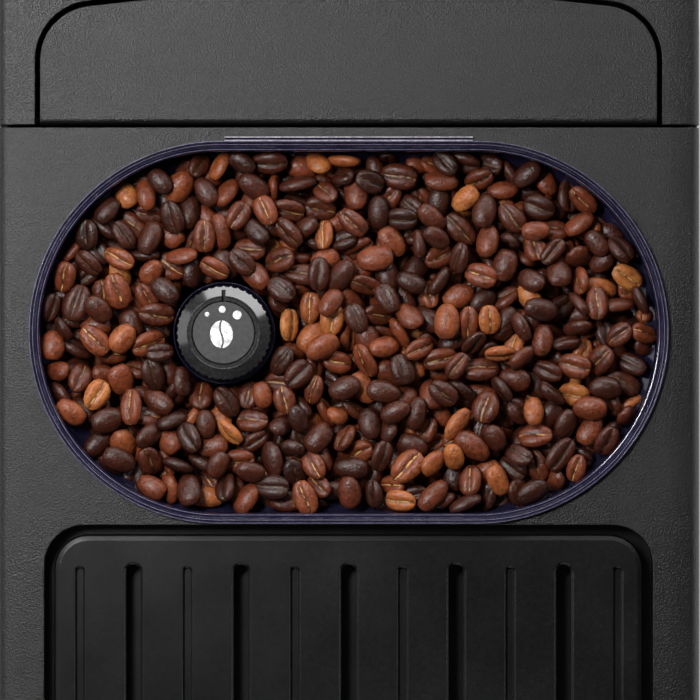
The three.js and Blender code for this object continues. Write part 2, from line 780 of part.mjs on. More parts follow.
// Hopper, beans and the grind knob
function stadiumRing(halfStraight, radius, x, y, z) {
  const ring = [];
  for (let i = 0; i < hopperPoints; i += 1) {
    const turn = ((i + 0.5) / hopperPoints) * Math.PI * 2;
    const side = Math.cos(turn) > 0 ? 1 : -1;
    ring.push([x + side * halfStraight + radius * Math.cos(turn), y + radius * Math.sin(turn), z]);
  }
  return ring;
}
const funnelTop = bodyHeight - hopperStraightDepth;
function hopper() {
  const bottom = throatBottom;
  const inner = hopperWallRadius - hopperWall;
  const skin = loft([
    stadiumRing(hopperHalfStraight, hopperEnd, 0, hopperY, coverTop + seat),
    stadiumRing(hopperHalfStraight, hopperEnd, 0, hopperY, bodyHeight),
    stadiumRing(hopperHalfStraight, inner, 0, hopperY, bodyHeight),
    stadiumRing(hopperHalfStraight, inner, 0, hopperY, funnelTop),
    stadiumRing(0, throatRadius, grinderX, hopperY, throatTop),
    stadiumRing(0, throatRadius, grinderX, hopperY, bottom),
    stadiumRing(0, throatOuter, grinderX, hopperY, bottom),
    stadiumRing(0, throatOuter, grinderX, hopperY, throatTop - hopperWall),
    stadiumRing(hopperHalfStraight, hopperWallRadius, 0, hopperY, funnelTop - hopperWall),
    stadiumRing(hopperHalfStraight, hopperWallRadius, 0, hopperY, coverTop + seat),
  ], true);
  const ledgeBack = hopperY + hopperEnd + ledgeInset;
  const ledge = box(
    -ledgeLength / 2, ledgeLength / 2, ledgeBack - ledgeDepth, ledgeBack, coverTop + seat, bodyHeight,
  );
  const collar = rod(knobX, hopperY, settingTop + play, collarTop, collarOuter);
  const bore = rod(knobX, hopperY, settingTop - overrun, bodyHeight + overrun, collarInner);
  return cut(joined(skin, ledge, collar), bore);
}
const collarInner = sleeveRadius + play;
const collarOuter = collarInner + collarWall;
const knobBottom = knobTop - knobHeight;
const collarTop = knobBottom - collarBelowKnob;
// Top layer of beans: ellipsoids in staggered rows, each turned and tipped by its own share of a turn
const turnShare = 0.382;
const tipShare = 0.618;
const steepestTip = Math.PI / 5;
function topBean(x, y, order, top) {
  const turn = ((order * turnShare) % 1) * Math.PI;
  const tip = (((order * tipShare) % 1) - 0.5) * 2 * steepestTip;
  const reach = Math.hypot(beanHeight / 2 * Math.cos(tip), beanLength / 2 * Math.sin(tip));
  const geometry = new THREE.SphereGeometry(0.5, 6, 4);
  geometry.rotateX(Math.PI / 2);
  geometry.scale(beanLength, beanWidth, beanHeight);
  geometry.rotateY(tip);
  geometry.rotateZ(turn);
  geometry.translate(x, y, top - reach);
  return solid(geometry);
}
function topBeans(top) {
  const rowPitch = beanPitch * Math.sqrt(3) / 2;
  const reach = hopperWallRadius - hopperWall - beanWallGap - beanLength / 2;
  const rows = Math.floor(reach / rowPitch);
  const columns = Math.ceil((hopperHalfStraight + reach) / beanPitch);
  const beans = [];
  for (let row = -rows; row <= rows; row += 1) {
    for (let column = -columns; column <= columns; column += 1) {
      const x = (column + (row % 2 ? 0.5 : 0)) * beanPitch;
      const y = row * rowPitch;
      const pastStraight = Math.max(Math.abs(x) - hopperHalfStraight, 0);
      if (Math.hypot(pastStraight, y) <= reach) {
        beans.push(topBean(x, hopperY + y, beans.length, top));
      }
    }
  }
  return beans;
}
function beanLoad() {
  const inner = hopperWallRadius - hopperWall - play;
  const top = bodyHeight - beanDrop;
  const mass = loft([
    stadiumRing(0, throatRadius - play, grinderX, hopperY, throatTop - throatLength / 2),
    stadiumRing(0, throatRadius - play, grinderX, hopperY, throatTop + play),
    stadiumRing(hopperHalfStraight, inner, 0, hopperY, funnelTop + play),
    stadiumRing(hopperHalfStraight, inner, 0, hopperY, top - beanRelief),
  ], false);
  const room = rod(knobX, hopperY, throatBottom, bodyHeight, collarOuter + play);
  const knobRoom = rod(knobX, hopperY, knobBottom - play * 2, bodyHeight, knobRadius + play * 2);
  return cut(joined(mass, ...topBeans(top)), room, knobRoom);
}
function grindKnob() {
  const points = [];
  for (let tooth = 0; tooth < knobTeeth; tooth += 1) {
    for (const [step, drop] of [[0, 0], [0.5, knobToothDepth]]) {
      const turn = (tooth + step) / knobTeeth * Math.PI * 2;
      points.push([
        knobX + (knobRadius - drop) * Math.cos(turn), hopperY + (knobRadius - drop) * Math.sin(turn),
      ]);
    }
  }
  const body = plate(polygon(points), knobBottom, knobTop - shoulderDrop);
  const shoulder = rod(
    knobX, hopperY, knobTop - shoulderDrop - seat, knobTop, knobRadius - knobToothDepth * 2,
    shoulderRadius, 32,
  );
  const recess = rod(
    knobX, hopperY, knobTop - capThickness - seat, knobTop + overrun, capRadius + play,
    capRadius + play, 32,
  );
  const stemWay = rod(knobX, hopperY, knobBottom - overrun, knobTop, capStemRadius + play);
  const notch = box(
    knobX - notchWidth / 2, knobX + notchWidth / 2, hopperY + shoulderRadius, hopperY + knobRadius + overrun,
    knobTop - shoulderDrop - notchDepth, knobTop + overrun,
  );
  return cut(joined(body, shoulder), recess, stemWay, notch);
}
function knobCap() {
  const disc = rod(knobX, hopperY, knobTop - capThickness, knobTop, capRadius, capRadius, 32);
  const stem = rod(knobX, hopperY, housingTop + seat, knobTop, capStemRadius);
  return joined(disc, stem);
}
function knobSleeve() {
  const tube = rod(knobX, hopperY, throatBottom, knobBottom - seat, sleeveRadius);
  const pinion = gear(knobX, hopperY, throatBottom, settingTop, gearModule, knobPinionTeeth);
  const bore = rod(knobX, hopperY, throatBottom - overrun, bodyHeight, sleeveRadius - sleeveWall);
  return cut(joined(tube, pinion), bore);
}
add('hopper', hopper(), clear(smoke, 0.4));
add('bean_load', beanLoad(), plastic(beanBrown, 0.45));
add('grind_knob', grindKnob(), plastic(gloss, 0.5));
add('knob_cap', knobCap(), plastic(casingGrey, 0.5));
add('knob_sleeve', knobSleeve(), plastic(nylon));

// Grinder
function burrCarrier() {
  const boreRadius = throatOuter + play;
  const bore = rod(
    grinderX, hopperY, throatBottom - carrierSkirt - overrun, settingTop + overrun, boreRadius,
    boreRadius, hopperPoints,
  );
  const teeth = gear(grinderX, hopperY, throatBottom, settingTop, gearModule, carrierTeeth, 0.5);
  const skirt = rod(
    grinderX, hopperY, throatBottom - carrierSkirt, throatBottom + seat, carrierRadius, carrierRadius,
    24,
  );
  const seatBore = rod(
    grinderX, hopperY, throatBottom - carrierSkirt - overrun, throatBottom - carrierSkirt + burrHeight + seat,
    burrRadius + seat, burrRadius + seat, 24,
  );
  return cut(joined(teeth, skirt), bore, seatBore);
}
function burrRing() {
  const bottom = throatBottom - carrierSkirt;
  const ring = rod(grinderX, hopperY, bottom, bottom + burrHeight, burrRadius, burrRadius, 24);
  const mouth = rod(grinderX, hopperY, bottom, bottom + burrHeight, burrThroat, burrMouth, 24);
  const ends = [
    rod(grinderX, hopperY, bottom - overrun, bottom, burrThroat, burrThroat, 24),
    rod(grinderX, hopperY, bottom + burrHeight, bottom + burrHeight + overrun, burrMouth, burrMouth, 24),
  ];
  return cut(ring, mouth, ...ends);
}
const coneBottom = throatBottom - carrierSkirt - play;
function burrCone() {
  const cone = rod(grinderX, hopperY, coneBottom, coneBottom + coneHeight, coneRadius, coneTop, 24);
  const bore = rod(
    grinderX, hopperY, coneBottom - overrun, coneBottom + coneHeight + overrun, shaftRadius + seat,
  );
  return cut(cone, bore);
}
const chuteY0 = hopperY - chuteWidth / 2;
const chuteY1 = hopperY + chuteWidth / 2;
function grinderHousing() {
  const lobe = rod(motorX, hopperY, housingBottom, chamberFloor, motorTip + play * 2 + shell);
  const outer = joined(
    rod(grinderX, hopperY, housingBottom, housingTop, housingRadius, housingRadius, 24), lobe,
  );
  const chamber = rod(
    grinderX, hopperY, chamberFloor, housingTop + overrun, chamberRadius, chamberRadius, 24,
  );
  const gearRoom = rod(
    grinderX, hopperY, housingBottom - overrun, gearboxTop, driveTip + play * 2, driveTip + play * 2, 24,
  );
  const pinionRoom = rod(motorX, hopperY, housingBottom - overrun, gearboxTop, motorTip + play * 2);
  const shaftWay = rod(grinderX, hopperY, gearboxTop - overrun, chamberFloor + overrun, shaftRadius + seat);
  const outWay = box(
    grinderX - housingRadius - overrun, grinderX, chuteY0 + chuteWall, chuteY1 - chuteWall,
    chamberFloor, chamberFloor + chuteHeight,
  );
  const legs = [1, 2, 3].map((quarter) => {
    const turn = quarter / 4 * Math.PI * 2;
    const out = housingRadius - housingLegRadius;
    return rod(
      grinderX + out * Math.cos(turn), hopperY + out * Math.sin(turn),
      deckTop + seat, gearboxTop, housingLegRadius, housingLegRadius, 8,
    );
  });
  return cut(joined(outer, ...legs), chamber, gearRoom, pinionRoom, shaftWay, outWay);
}
function driveGear() {
  const teeth = gear(
    grinderX, hopperY, driveGearBottom, driveGearBottom + driveGearWidth, driveModule, driveTeeth,
  );
  return cut(teeth, rod(grinderX, hopperY, housingBottom - overrun, gearboxTop, shaftRadius + seat));
}
function chute() {
  const x0 = brewX + chuteHeight / 2;
  const x1 = grinderX;
  const z0 = brewTop + seat;
  const z1 = chamberFloor;
  const wall = chuteWall;
  const outer = polygon([
    [x0 - chuteHeight, z0], [x0, z0], [grinderX - housingRadius, z1 - wall], [x1, z1 - wall],
    [x1, z1 + chuteHeight + wall], [grinderX - housingRadius, z1 + chuteHeight + wall],
    [x0 - chuteHeight, z1],
  ]);
  const inner = polygon([
    [x0 - chuteHeight + wall, z0 - overrun], [x0 - wall, z0 - overrun], [x0 - wall, z0 + wall],
    [grinderX - housingRadius, z1], [x1 + overrun, z1], [x1 + overrun, z1 + chuteHeight],
    [grinderX - housingRadius, z1 + chuteHeight], [x0 - chuteHeight + wall, z1 - wall],
  ]);
  const housingRoom = rod(
    grinderX, hopperY, housingBottom - overrun, housingTop + overrun, housingRadius + play,
    housingRadius + play, 24,
  );
  return cut(
    facePlate(outer, chuteY0, chuteY1), facePlate(inner, chuteY0 + wall, chuteY1 - wall), housingRoom,
  );
}
add('burr_carrier', burrCarrier(), plastic(nylon));
add('burr_ring', burrRing(), metal(darkSteel));
add('burr_cone', burrCone(), metal(darkSteel));
add(
  'grinder_shaft', rod(grinderX, hopperY, driveGearBottom, coneBottom + coneHeight, shaftRadius),
  metal(steel),
);
add('grinder_housing', grinderHousing(), plastic(trayBlack));
add('grinder_gear', driveGear(), plastic(nylon));
const motorFace = housingBottom - seat;
function motorPinion() {
  const teeth = gear(
    motorX, hopperY, driveGearBottom, driveGearBottom + driveGearWidth, driveModule, motorTeeth,
  );
  const spindle = rod(
    motorX, hopperY, motorFace - driveGearWidth, driveGearBottom + driveGearWidth,
    shaftRadius - 2 * play, shaftRadius - 2 * play, 16,
  );
  return joined(teeth, spindle);
}
add('motor_pinion', motorPinion(), metal(steel));
const motorBody = rod(motorX, hopperY, deckTop + grinderMotorGap, motorFace, grinderMotorRadius);
const spindleWay = rod(
  motorX, hopperY, motorFace - driveGearWidth - play, motorFace + overrun, shaftRadius, shaftRadius, 16,
);
add('grinder_motor', cut(motorBody, spindleWay), metal(darkSteel));
add('ground_chute', chute(), plastic(trayBlack));

// Brew unit
function brewCylinder() {
  const body = rod(brewX, hopperY, brewBottom, brewTop, brewRadius, brewRadius, 20);
  const bore = rod(
    brewX, hopperY, brewBottom + brewWall, brewTop + overrun, brewRadius - brewWall,
    brewRadius - brewWall, 20,
  );
  const rodWay = rod(brewX, hopperY, brewBottom - overrun, brewTop, pistonRodRadius + play);
  return cut(body, bore, rodWay);
}
function brewFrame() {
  const half = brewPlateWidth / 2;
  const base = box(
    brewX - half, brewX + half, hopperY - brewRadius - brewPlate, hopperY + brewRadius + brewPlate,
    deckTop + seat, brewBottom - seat,
  );
  const walls = [-1, 1].map((side) => {
    const y = hopperY + side * (brewRadius + seat + (brewPlate - seat) / 2);
    return box(
      brewX - half, brewX + half, y - (brewPlate - seat) / 2, y + (brewPlate - seat) / 2,
      deckTop + seat, brewTop,
    );
  });
  const screwWay = rod(brewX, hopperY, deckBottom, brewTop, pistonRodRadius + play);
  return cut(joined(base, ...walls), screwWay);
}
const pistonBottom = brewBottom + brewWall + seat;
function brewPiston() {
  const head = rod(
    brewX, hopperY, pistonBottom, pistonBottom + pistonHeight,
    brewRadius - brewWall - play, brewRadius - brewWall - play, 20,
  );
  const neck = rod(brewX, hopperY, deckTop + seat, pistonBottom + seat, pistonRodRadius);
  const nut = rod(
    brewX, hopperY, deckTop - overrun, pistonBottom + pistonHeight - brewWall, screwRadius + play,
  );
  return cut(joined(head, neck), nut);
}
add('brew_cylinder', brewCylinder(), plastic(nylon));
add('brew_frame', brewFrame(), plastic(trayBlack));
add('brew_piston', brewPiston(), plastic(rubberBlack));
const screwTop = pistonBottom + pistonHeight - brewWall - play;
add(
  'lead_screw', rod(brewX, hopperY, deckBottom - shell, screwTop, screwRadius, screwRadius, 16),
  metal(steel),
);
const brewMotorTop = deckBottom - seat;
const brewMotorBody = rod(brewX, hopperY, brewMotorTop - brewMotorLength, brewMotorTop, brewMotorRadius);
const brewMotorBore = rod(
  brewX, hopperY, deckBottom - shell - play, deckTop, screwRadius + play, screwRadius + play, 16,
);
add('brew_motor', cut(brewMotorBody, brewMotorBore), metal(darkSteel));

// Water tank and lid
function tankBlock(inset, front, z0, z1) {
  const block = plate(lidOutline(-inset), z0, z1, 6);
  return cut(block, box(-right, right, lidFront - overrun, front, z0 - overrun, z1 + overrun));
}
function waterTank() {
  const outer = tankBlock(tankInset, tankFront, tankShelfTop + seat, tankRim);
  const inner = tankBlock(
    tankInset + tankWall, tankFront + tankWall, tankShelfTop + tankWall, tankRim + overrun,
  );
  const spigotY = (tankFront + tankBack) / 2;
  const spigot = rod(pumpX, spigotY, deckBottom, tankShelfTop + tankWall, spigotRadius, spigotRadius, 16);
  const spigotBore = rod(
    pumpX, spigotY, deckBottom - overrun, tankShelfTop + overrun, pinRadius * 3, pinRadius * 3, 16,
  );
  const ears = [-1, 1].map((side) => {
    const x = side * (knuckleCentre + knuckleLength / 2 + play + earWidth / 2);
    const post = box(
      x - earWidth / 2, x + earWidth / 2, tankFront, lidAxisY + knuckleRadius, tankRim - earDrop, lidAxisZ,
    );
    const eye = rodAlongX(lidAxisY, lidAxisZ, x - earWidth / 2, x + earWidth / 2, knuckleRadius);
    const pinEnd = side * (knuckleCentre - knuckleLength / 2);
    const pin = rodAlongX(lidAxisY, lidAxisZ, Math.min(pinEnd, x), Math.max(pinEnd, x), pinRadius);
    return joined(post, eye, pin);
  });
  return cut(joined(cut(outer, inner), spigot, ...ears), spigotBore);
}
function lidPinWays() {
  const reach = knuckleLength + earWidth;
  return [-1, 1].map((side) => {
    const x = side * knuckleCentre;
    return rodAlongX(lidAxisY, lidAxisZ, x - reach - overrun, x + reach + overrun, pinRadius + seat);
  });
}
function tankLid() {
  const sheet = plate(lidOutline(0), coverUnder, coverTop, 6);
  const edgeCut = box(
    -right, right, lidFront - overrun, lidFront + lidEdge, coverTop - lidEdge, coverTop + overrun,
  );
  const edge = rodAlongX(lidFront + lidEdge, coverTop - lidEdge, -lidWidth / 2, lidWidth / 2, lidEdge);
  const knuckles = [-1, 1].map((side) => {
    const x0 = side * knuckleCentre - knuckleLength / 2;
    const web = box(
      x0, x0 + knuckleLength, lidAxisY - knuckleRadius, lidAxisY + knuckleRadius, lidAxisZ,
      coverUnder + seat,
    );
    return joined(web, rodAlongX(lidAxisY, lidAxisZ, x0, x0 + knuckleLength, knuckleRadius));
  });
  return cut(joined(cut(sheet, edgeCut), edge, ...knuckles), ...lidPinWays());
}
add('water_tank', waterTank(), clear(smoke, 0.5));
add('tank_lid', tankLid(), plastic(casingGrey));

// Pump, thermoblock, hoses and boards
function pump() {
  const z = baseTop + seat + pumpFoot + pumpRadius;
  const body = rodAlongY(pumpX, z, pumpY - pumpLength / 2, pumpY + pumpLength / 2, pumpRadius);
  const feet = [-1, 1].map((side) => {
    const y = pumpY + side * pumpLength / 4;
    return box(
      pumpX - pumpFootWidth / 2, pumpX + pumpFootWidth / 2, y - pumpFoot / 2, y + pumpFoot / 2,
      baseTop + seat, z,
    );
  });
  return joined(body, ...feet);
}
function thermoblock() {
  const outline = roundedRectangle(
    heaterX - heaterWidth / 2, heaterX + heaterWidth / 2, heaterFront, heaterBack,
    heaterRound,
  );
  return plate(outline, deckTop + seat, deckTop + heaterHeight, 4);
}
const hoseSides = 8;
function hose(points) {
  const curve = new THREE.CatmullRomCurve3(points.map((place) => new THREE.Vector3(...place)));
  const section = new THREE.Shape();
  for (let i = 0; i < hoseSides; i += 1) {
    const turn = i / hoseSides * Math.PI * 2;
    const method = i === 0 ? 'moveTo' : 'lineTo';
    section[method](hoseRadius * Math.cos(turn), hoseRadius * Math.sin(turn));
  }
  return solid(new THREE.ExtrudeGeometry(section, { steps: 14, bevelEnabled: false, extrudePath: curve }));
}
const pumpZ = baseTop + seat + pumpFoot + pumpRadius;
const spigotPlace = (tankFront + tankBack) / 2;
const suctionRoute = [
  [pumpX, spigotPlace, deckBottom - play], [pumpX, spigotPlace, deckBottom - hoseRadius * 4],
  [pumpX, spigotPlace, pumpZ + hoseRadius * 6], [pumpX, spigotPlace, pumpZ + hoseRadius * 3],
];
const pressureRoute = [
  [pumpX, pumpFront - play, pumpZ], [pumpX, pumpFront - hoseRadius * 2, pumpZ],
  [pumpX, heaterY, pumpZ + pumpRadius * 2], [pumpX, heaterY, deckBottom], [
    pumpX, heaterY, deckTop - play / 2,
  ],
];
function valve() {
  const top = pumpZ + hoseRadius * 3 - play;
  const body = box(
    pumpX - pumpRadius / 2, pumpX + pumpRadius / 2, spigotPlace - pumpRadius, spigotPlace + pumpRadius / 2,
    baseTop + seat, top,
  );
  return body;
}
function mainBoard() {
  const sheet = box(
    -mainBoardX - boardThickness, -mainBoardX, mainBoardFront, mainBoardBack,
    baseTop + seat, baseTop + boardHeight,
  );
  const parts = [-1, 0, 1].map((step) => {
    const y = mainBoardY + step * chipLength * 1.2;
    const z = baseTop + boardHeight / 2 - step * chipHeight;
    return box(
      -mainBoardX - seat, chipHeight - mainBoardX, y - chipLength / 2, y + chipLength / 2, z - chipWidth / 2,
      z + chipWidth / 2,
    );
  });
  return joined(sheet, ...parts);
}
add('pump', pump(), metal(darkSteel));
add('thermoblock', thermoblock(), metal(steel));
add('flow_meter', valve(), plastic(nylon));
add('suction_hose', hose(suctionRoute), clear(nylon, 0.7));
add('pressure_hose', hose(pressureRoute), clear(nylon, 0.7));
add('main_board', mainBoard(), plastic(boardGreen));
function powerInlet() {
  const body = box(
    -inletX - inletWidth / 2, inletWidth / 2 - inletX, rear - inletDepth, rear,
    inletZ - inletHeight / 2, inletZ + inletHeight / 2,
  );
  const mouth = box(
    -inletX - inletWidth / 2 + shell, inletWidth / 2 - shell - inletX, rear - inletMouth, rear + overrun,
    inletZ - inletHeight / 2 + shell, inletZ + inletHeight / 2 - shell,
  );
  return cut(body, mouth);
}
add('power_inlet', powerInlet(), plastic(rubberBlack));

// Controls
function controlBoard() {
  const sheet = box(
    boardMargin - right, right - boardMargin, boardFront, boardFront + boardThickness,
    buttonRow - buttonRadius - standoffRadius, controlRow + windowHeight,
  );
  const standoffs = [];
  for (const x of [boardMargin - right + standoffRadius, right - boardMargin - standoffRadius]) {
    for (const z of [buttonRow, controlRow + windowHeight - standoffRadius * 2]) {
      standoffs.push(rodAlongY(x, z, panelBack + seat, boardFront + seat, standoffRadius, 12));
    }
  }
  const shaftWay = rodAlongY(modeKnobX, controlRow, panelBack, boardFront + overrun, modeKnobShaft + play);
  return cut(joined(sheet, ...standoffs), shaftWay);
}
add('control_board', controlBoard(), plastic(boardGreen));
const windowSolid = box(
  windowLeft - windowWidth / 2, windowLeft + windowWidth / 2, bodyFront, panelBack,
  controlRow - windowHeight / 2, controlRow + windowHeight / 2,
);
add('display_window', windowSolid, clear(gloss, 0.85));
function modeKnob() {
  const face = rodAlongY(modeKnobX, controlRow, bodyFront - frontReach, bodyFront - play, modeKnobRadius, 28);
  const shaft = rodAlongY(
    modeKnobX, controlRow, bodyFront - play * 2, boardFront + boardThickness, modeKnobShaft, 16,
  );
  return joined(face, shaft);
}
add('mode_knob', modeKnob(), metal(steel));
function button(x) {
  const head = rodAlongY(x, buttonRow, bodyFront - buttonTravel, panelBack, buttonRadius);
  const stem = rodAlongY(x, buttonRow, panelBack - seat, boardFront - buttonTravel - play, buttonStem, 12);
  return joined(head, stem);
}
['power_button', 'one_cup_button', 'two_cup_button'].forEach((name, i) => {
  add(name, button(buttonPlaces[i]), plastic(gloss, 0.35));
});

// Cup bay: outlet, trays and drawer
function outlet() {
  const outline = roundedRectangle(-outletWidth / 2, outletWidth / 2, outletFront, outletBack, outletRound);
  const block = plate(outline, outletBottom, outletTop, 5);
  const y = (outletFront + outletBack) / 2;
  const guide = box(
    -guideWidth / 2, guideWidth / 2, y - guideDepth / 2, y + guideDepth / 2, outletTop - seat,
    outletTop + guideHeight,
  );
  const nozzles = [-1, 1].map((side) => rod(
    side * nozzleSpread, y, outletRest, outletBottom + seat, nozzleRadius * nozzleTaperShare,
    nozzleRadius, 16,
  ));
  const bores = [-1, 1].map((side) => rod(
    side * nozzleSpread, y, outletRest - overrun, outletBottom + nozzleLength, nozzleBore, nozzleBore, 12,
  ));
  return cut(joined(block, guide, ...nozzles), ...bores);
}
const nozzleTaperShare = 0.75;
add('coffee_outlet', outlet(), plastic(gloss, 0.35));
const trayFront = -bodyDepth / 2;
const trayRear = bayFace - seat * 2 - drawerFace;
const trayBottom = baseTop + seat;
const gridTop = trayHeight - seat;
function dripTray() {
  const outer = box(-trayHalf, trayHalf, trayFront, trayRear, trayBottom, trayHeight);
  const inner = box(
    trayWall - trayHalf, trayHalf - trayWall, trayFront + gridLedge, trayRear - trayWall,
    trayBottom + trayWall, trayHeight - gridThickness - seat * 2,
  );
  const gridRoom = box(
    gridLedge / 2 - trayHalf, trayHalf - gridLedge / 2, trayFront + gridLedge / 2 + seat,
    trayRear - gridLedge / 2, trayHeight - gridThickness - seat * 2, trayHeight + overrun,
  );
  return cut(outer, inner, gridRoom);
}
const floatX = -(trayHalf - floatInset);
const floatY = trayFront + floatInset;
function dripGrid() {
  const half = trayHalf - gridLedge / 2 - play;
  const y0 = trayFront + gridLedge / 2 + seat + play;
  const y1 = trayRear - gridLedge / 2 - play;
  const sheet = box(-half, half, y0, y1, gridTop - gridThickness, gridTop);
  const pitch = (half - gridMargin) * 2 / gridSlots;
  const slots = [];
  for (let i = 0; i < gridSlots; i += 1) {
    const x = gridMargin - half + (i + 0.5) * pitch;
    const outline = slotShape(x, gridSlotWidth / 2, y0 + gridMargin * 2, y1 - gridMargin);
    slots.push(plate(outline, gridTop - gridThickness - overrun, gridTop + overrun, 2));
  }
  const floatWay = box(
    -half - overrun, floatX + floatStem + play, y0 - overrun, floatY + floatStem + play,
    gridTop - gridThickness - overrun, gridTop + overrun,
  );
  return cut(sheet, ...slots, floatWay);
}
function trayFloat() {
  const bottom = trayBottom + trayWall + seat;
  const disc = rod(floatX, floatY, bottom, bottom + floatThickness, floatRadius);
  return joined(disc, rod(floatX, floatY, bottom, gridTop, floatStem, floatStem, 16));
}
function groundsDrawer() {
  const half = drawerWidth / 2;
  const faceBack = bayFace - seat;
  const body = box(seat - half, half - seat, faceBack - seat, drawerBack, drawerBottom, drawerTop);
  const inside = box(
    drawerWall - half, half - drawerWall, faceBack, drawerBack - drawerWall,
    drawerBottom + drawerWall, drawerTop + overrun,
  );
  const face = box(
    -half - drawerLap, half + drawerLap, faceBack - drawerFace, faceBack,
    trayHeight + shell, drawerTop + drawerLap / 2,
  );
  return joined(cut(body, inside), face);
}
add('drip_tray', dripTray(), plastic(trayBlack));
add('drip_grid', dripGrid(), metal(steel));
add('tray_float', trayFloat(), plastic(0xa02018));
add('grounds_drawer', groundsDrawer(), plastic(casingGrey));

// Steam wand
function steamWand() {
  const ballShape = new THREE.SphereGeometry(wandBall, 14, 8);
  ballShape.rotateX(Math.PI / 2);
  ballShape.translate(wandX, wandY, wandZ);
  return joined(solid(ballShape), rod(wandX, wandY, wandZ - wandLength, wandZ, wandTube, wandTube, 16));
}
function wandTip() {
  const bottom = wandZ - wandLength - shell;
  const tip = rod(wandX, wandY, bottom, bottom + tipLength, tipRadius * nozzleTaperShare, tipRadius, 20);
  return cut(
    tip,
    rod(
      wandX, wandY, bottom + shell - seat, bottom + tipLength + overrun, wandTube + seat,
      wandTube + seat, 16,
    ),
  );
}
add('steam_wand', steamWand(), metal(steel));
add('wand_tip', wandTip(), plastic(rubberBlack));

export default machine;
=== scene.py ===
"""Looks for a compact bean to cup coffee machine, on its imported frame. Metres, +Z up, front -Y."""

import math

import bmesh
import bpy
import numpy as np
from mathutils import Matrix, Vector


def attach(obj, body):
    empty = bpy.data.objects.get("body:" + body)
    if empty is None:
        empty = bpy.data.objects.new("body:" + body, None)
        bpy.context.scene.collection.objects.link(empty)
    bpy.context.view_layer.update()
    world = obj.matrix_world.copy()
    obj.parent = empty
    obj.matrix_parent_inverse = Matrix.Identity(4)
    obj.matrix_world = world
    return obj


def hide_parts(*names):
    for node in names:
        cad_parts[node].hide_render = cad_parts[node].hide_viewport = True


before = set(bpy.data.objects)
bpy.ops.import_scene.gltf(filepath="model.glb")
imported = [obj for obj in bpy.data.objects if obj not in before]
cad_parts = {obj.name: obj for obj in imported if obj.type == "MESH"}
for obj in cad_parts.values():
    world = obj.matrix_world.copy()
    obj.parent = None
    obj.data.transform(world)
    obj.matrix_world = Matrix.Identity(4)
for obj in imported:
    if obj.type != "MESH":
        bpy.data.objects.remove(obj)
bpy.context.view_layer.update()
mm = 0.001
same_place = 0.001 * mm
same_level = 0.02 * mm


# Shader nodes

def fill(tree, node, inputs):
    """The node's inputs set, or wired from other nodes."""
    for name, value in inputs.items():
        if isinstance(value, bpy.types.NodeSocket):
            tree.links.new(value, node.inputs[name])
        else:
            node.inputs[name].default_value = value


def put(tree, kind, inputs=None, **settings):
    """A new shader node."""
    node = tree.nodes.new("ShaderNode" + kind)
    for name, value in settings.items():
        setattr(node, name, value)
    fill(tree, node, inputs or {})
    return node


def maths(tree, operation, *values):
    """One step of arithmetic on sockets or plain values."""
    return put(tree, "Math", dict(enumerate(values)), operation=operation).outputs[0]


def times(tree, first, second):
    return maths(tree, "MULTIPLY", first, second)


def plus(tree, first, second):
    return maths(tree, "ADD", first, second)


def spread(tree, value, low, high, start=0.0, end=1.0):
    """A value between low and high stretched to run from start to end, and held there."""
    return put(tree, "MapRange", {"Value": value, "From Min": low, "From Max": high,
                                  "To Min": start, "To Max": end}).outputs["Result"]


def blended(tree, share, first, second):
    """Two colours mixed: the first where the share is 0, the second where it is 1."""
    return put(tree, "Mix", {0: share, 6: first, 7: second}, data_type="RGBA").outputs[2]


def effect(name, inputs, outputs):
    """An empty group with named inputs and outputs, ready to be filled."""
    group = bpy.data.node_groups.new(name, "ShaderNodeTree")
    for label, value in inputs.items():
        socket = group.interface.new_socket(name=label, in_out="INPUT", socket_type="NodeSocketFloat")
        socket.default_value = value
    for label, kind in outputs.items():
        group.interface.new_socket(name=label, in_out="OUTPUT", socket_type="NodeSocket" + kind)
    return group, group.nodes.new("NodeGroupInput"), group.nodes.new("NodeGroupOutput")


def object_place(tree):
    return put(tree, "TexCoord").outputs["Object"]


def noise(tree, place, scale, detail, roughness=0.5, distortion=0.0):
    """Soft random values; the scale says how many lumps there are to the metre."""
    return put(tree, "TexNoise", {"Vector": place, "Scale": scale, "Detail": detail,
                                  "Roughness": roughness, "Distortion": distortion}).outputs["Fac"]


def make_grain():
    """Pebbles and fine grit of a textured mould."""
    group, given, result = effect("moulded grain", {"Pebble": 0.8 * mm},
                                  {"Height": "Float", "Tone": "Float"})
    grit_often, patches_often = 1.7, 0.35  # against the pebbles
    pebble_height, grit_height = 0.55, 0.75
    grit_tone, patch_tone = 0.6, 0.4
    place = object_place(group)
    often = maths(group, "DIVIDE", 1.0, given.outputs["Pebble"])
    pebbles = put(group, "TexVoronoi", {"Vector": place, "Scale": often, "Smoothness": 0.6},
                  feature="SMOOTH_F1").outputs["Distance"]
    grit = noise(group, place, times(group, often, grit_often), 3.0, 0.6)
    patches = noise(group, place, times(group, often, patches_often), 2.0)
    height = plus(group, times(group, pebbles, pebble_height), times(group, grit, grit_height))
    tone = plus(group, times(group, grit, grit_tone), times(group, patches, patch_tone))
    fill(group, result, {"Height": height, "Tone": tone})
    return group


def make_edges():
    """Softened edges, and a mask of their rims: rubbed wear in most finishes, a painted edge highlight on
    clear plastic.
    """
    group, given, result = effect("softened edges", {"Radius": 0.5 * mm},
                                  {"Normal": "Vector", "Rub_and_sheen": "Float"})
    on_flat, on_edge = 0.985, 0.86  # how far the soft and the flat normal agree
    soft = put(group, "Bevel", {"Radius": given.outputs["Radius"]}, samples=4).outputs["Normal"]
    flat = put(group, "NewGeometry").outputs["Normal"]
    turn = put(group, "VectorMath", {0: soft, 1: flat}, operation="DOT_PRODUCT").outputs["Value"]
    breaks = noise(group, object_place(group), 160.0, 4.0)
    # The rim mask: rubbed wear in most finishes, the mask of a painted edge highlight on clear plastic
    rub = times(group, spread(group, turn, on_flat, on_edge), spread(group, breaks, 0.42, 0.68))
    fill(group, result, {"Normal": soft, "Rub_and_sheen": rub})
    return group


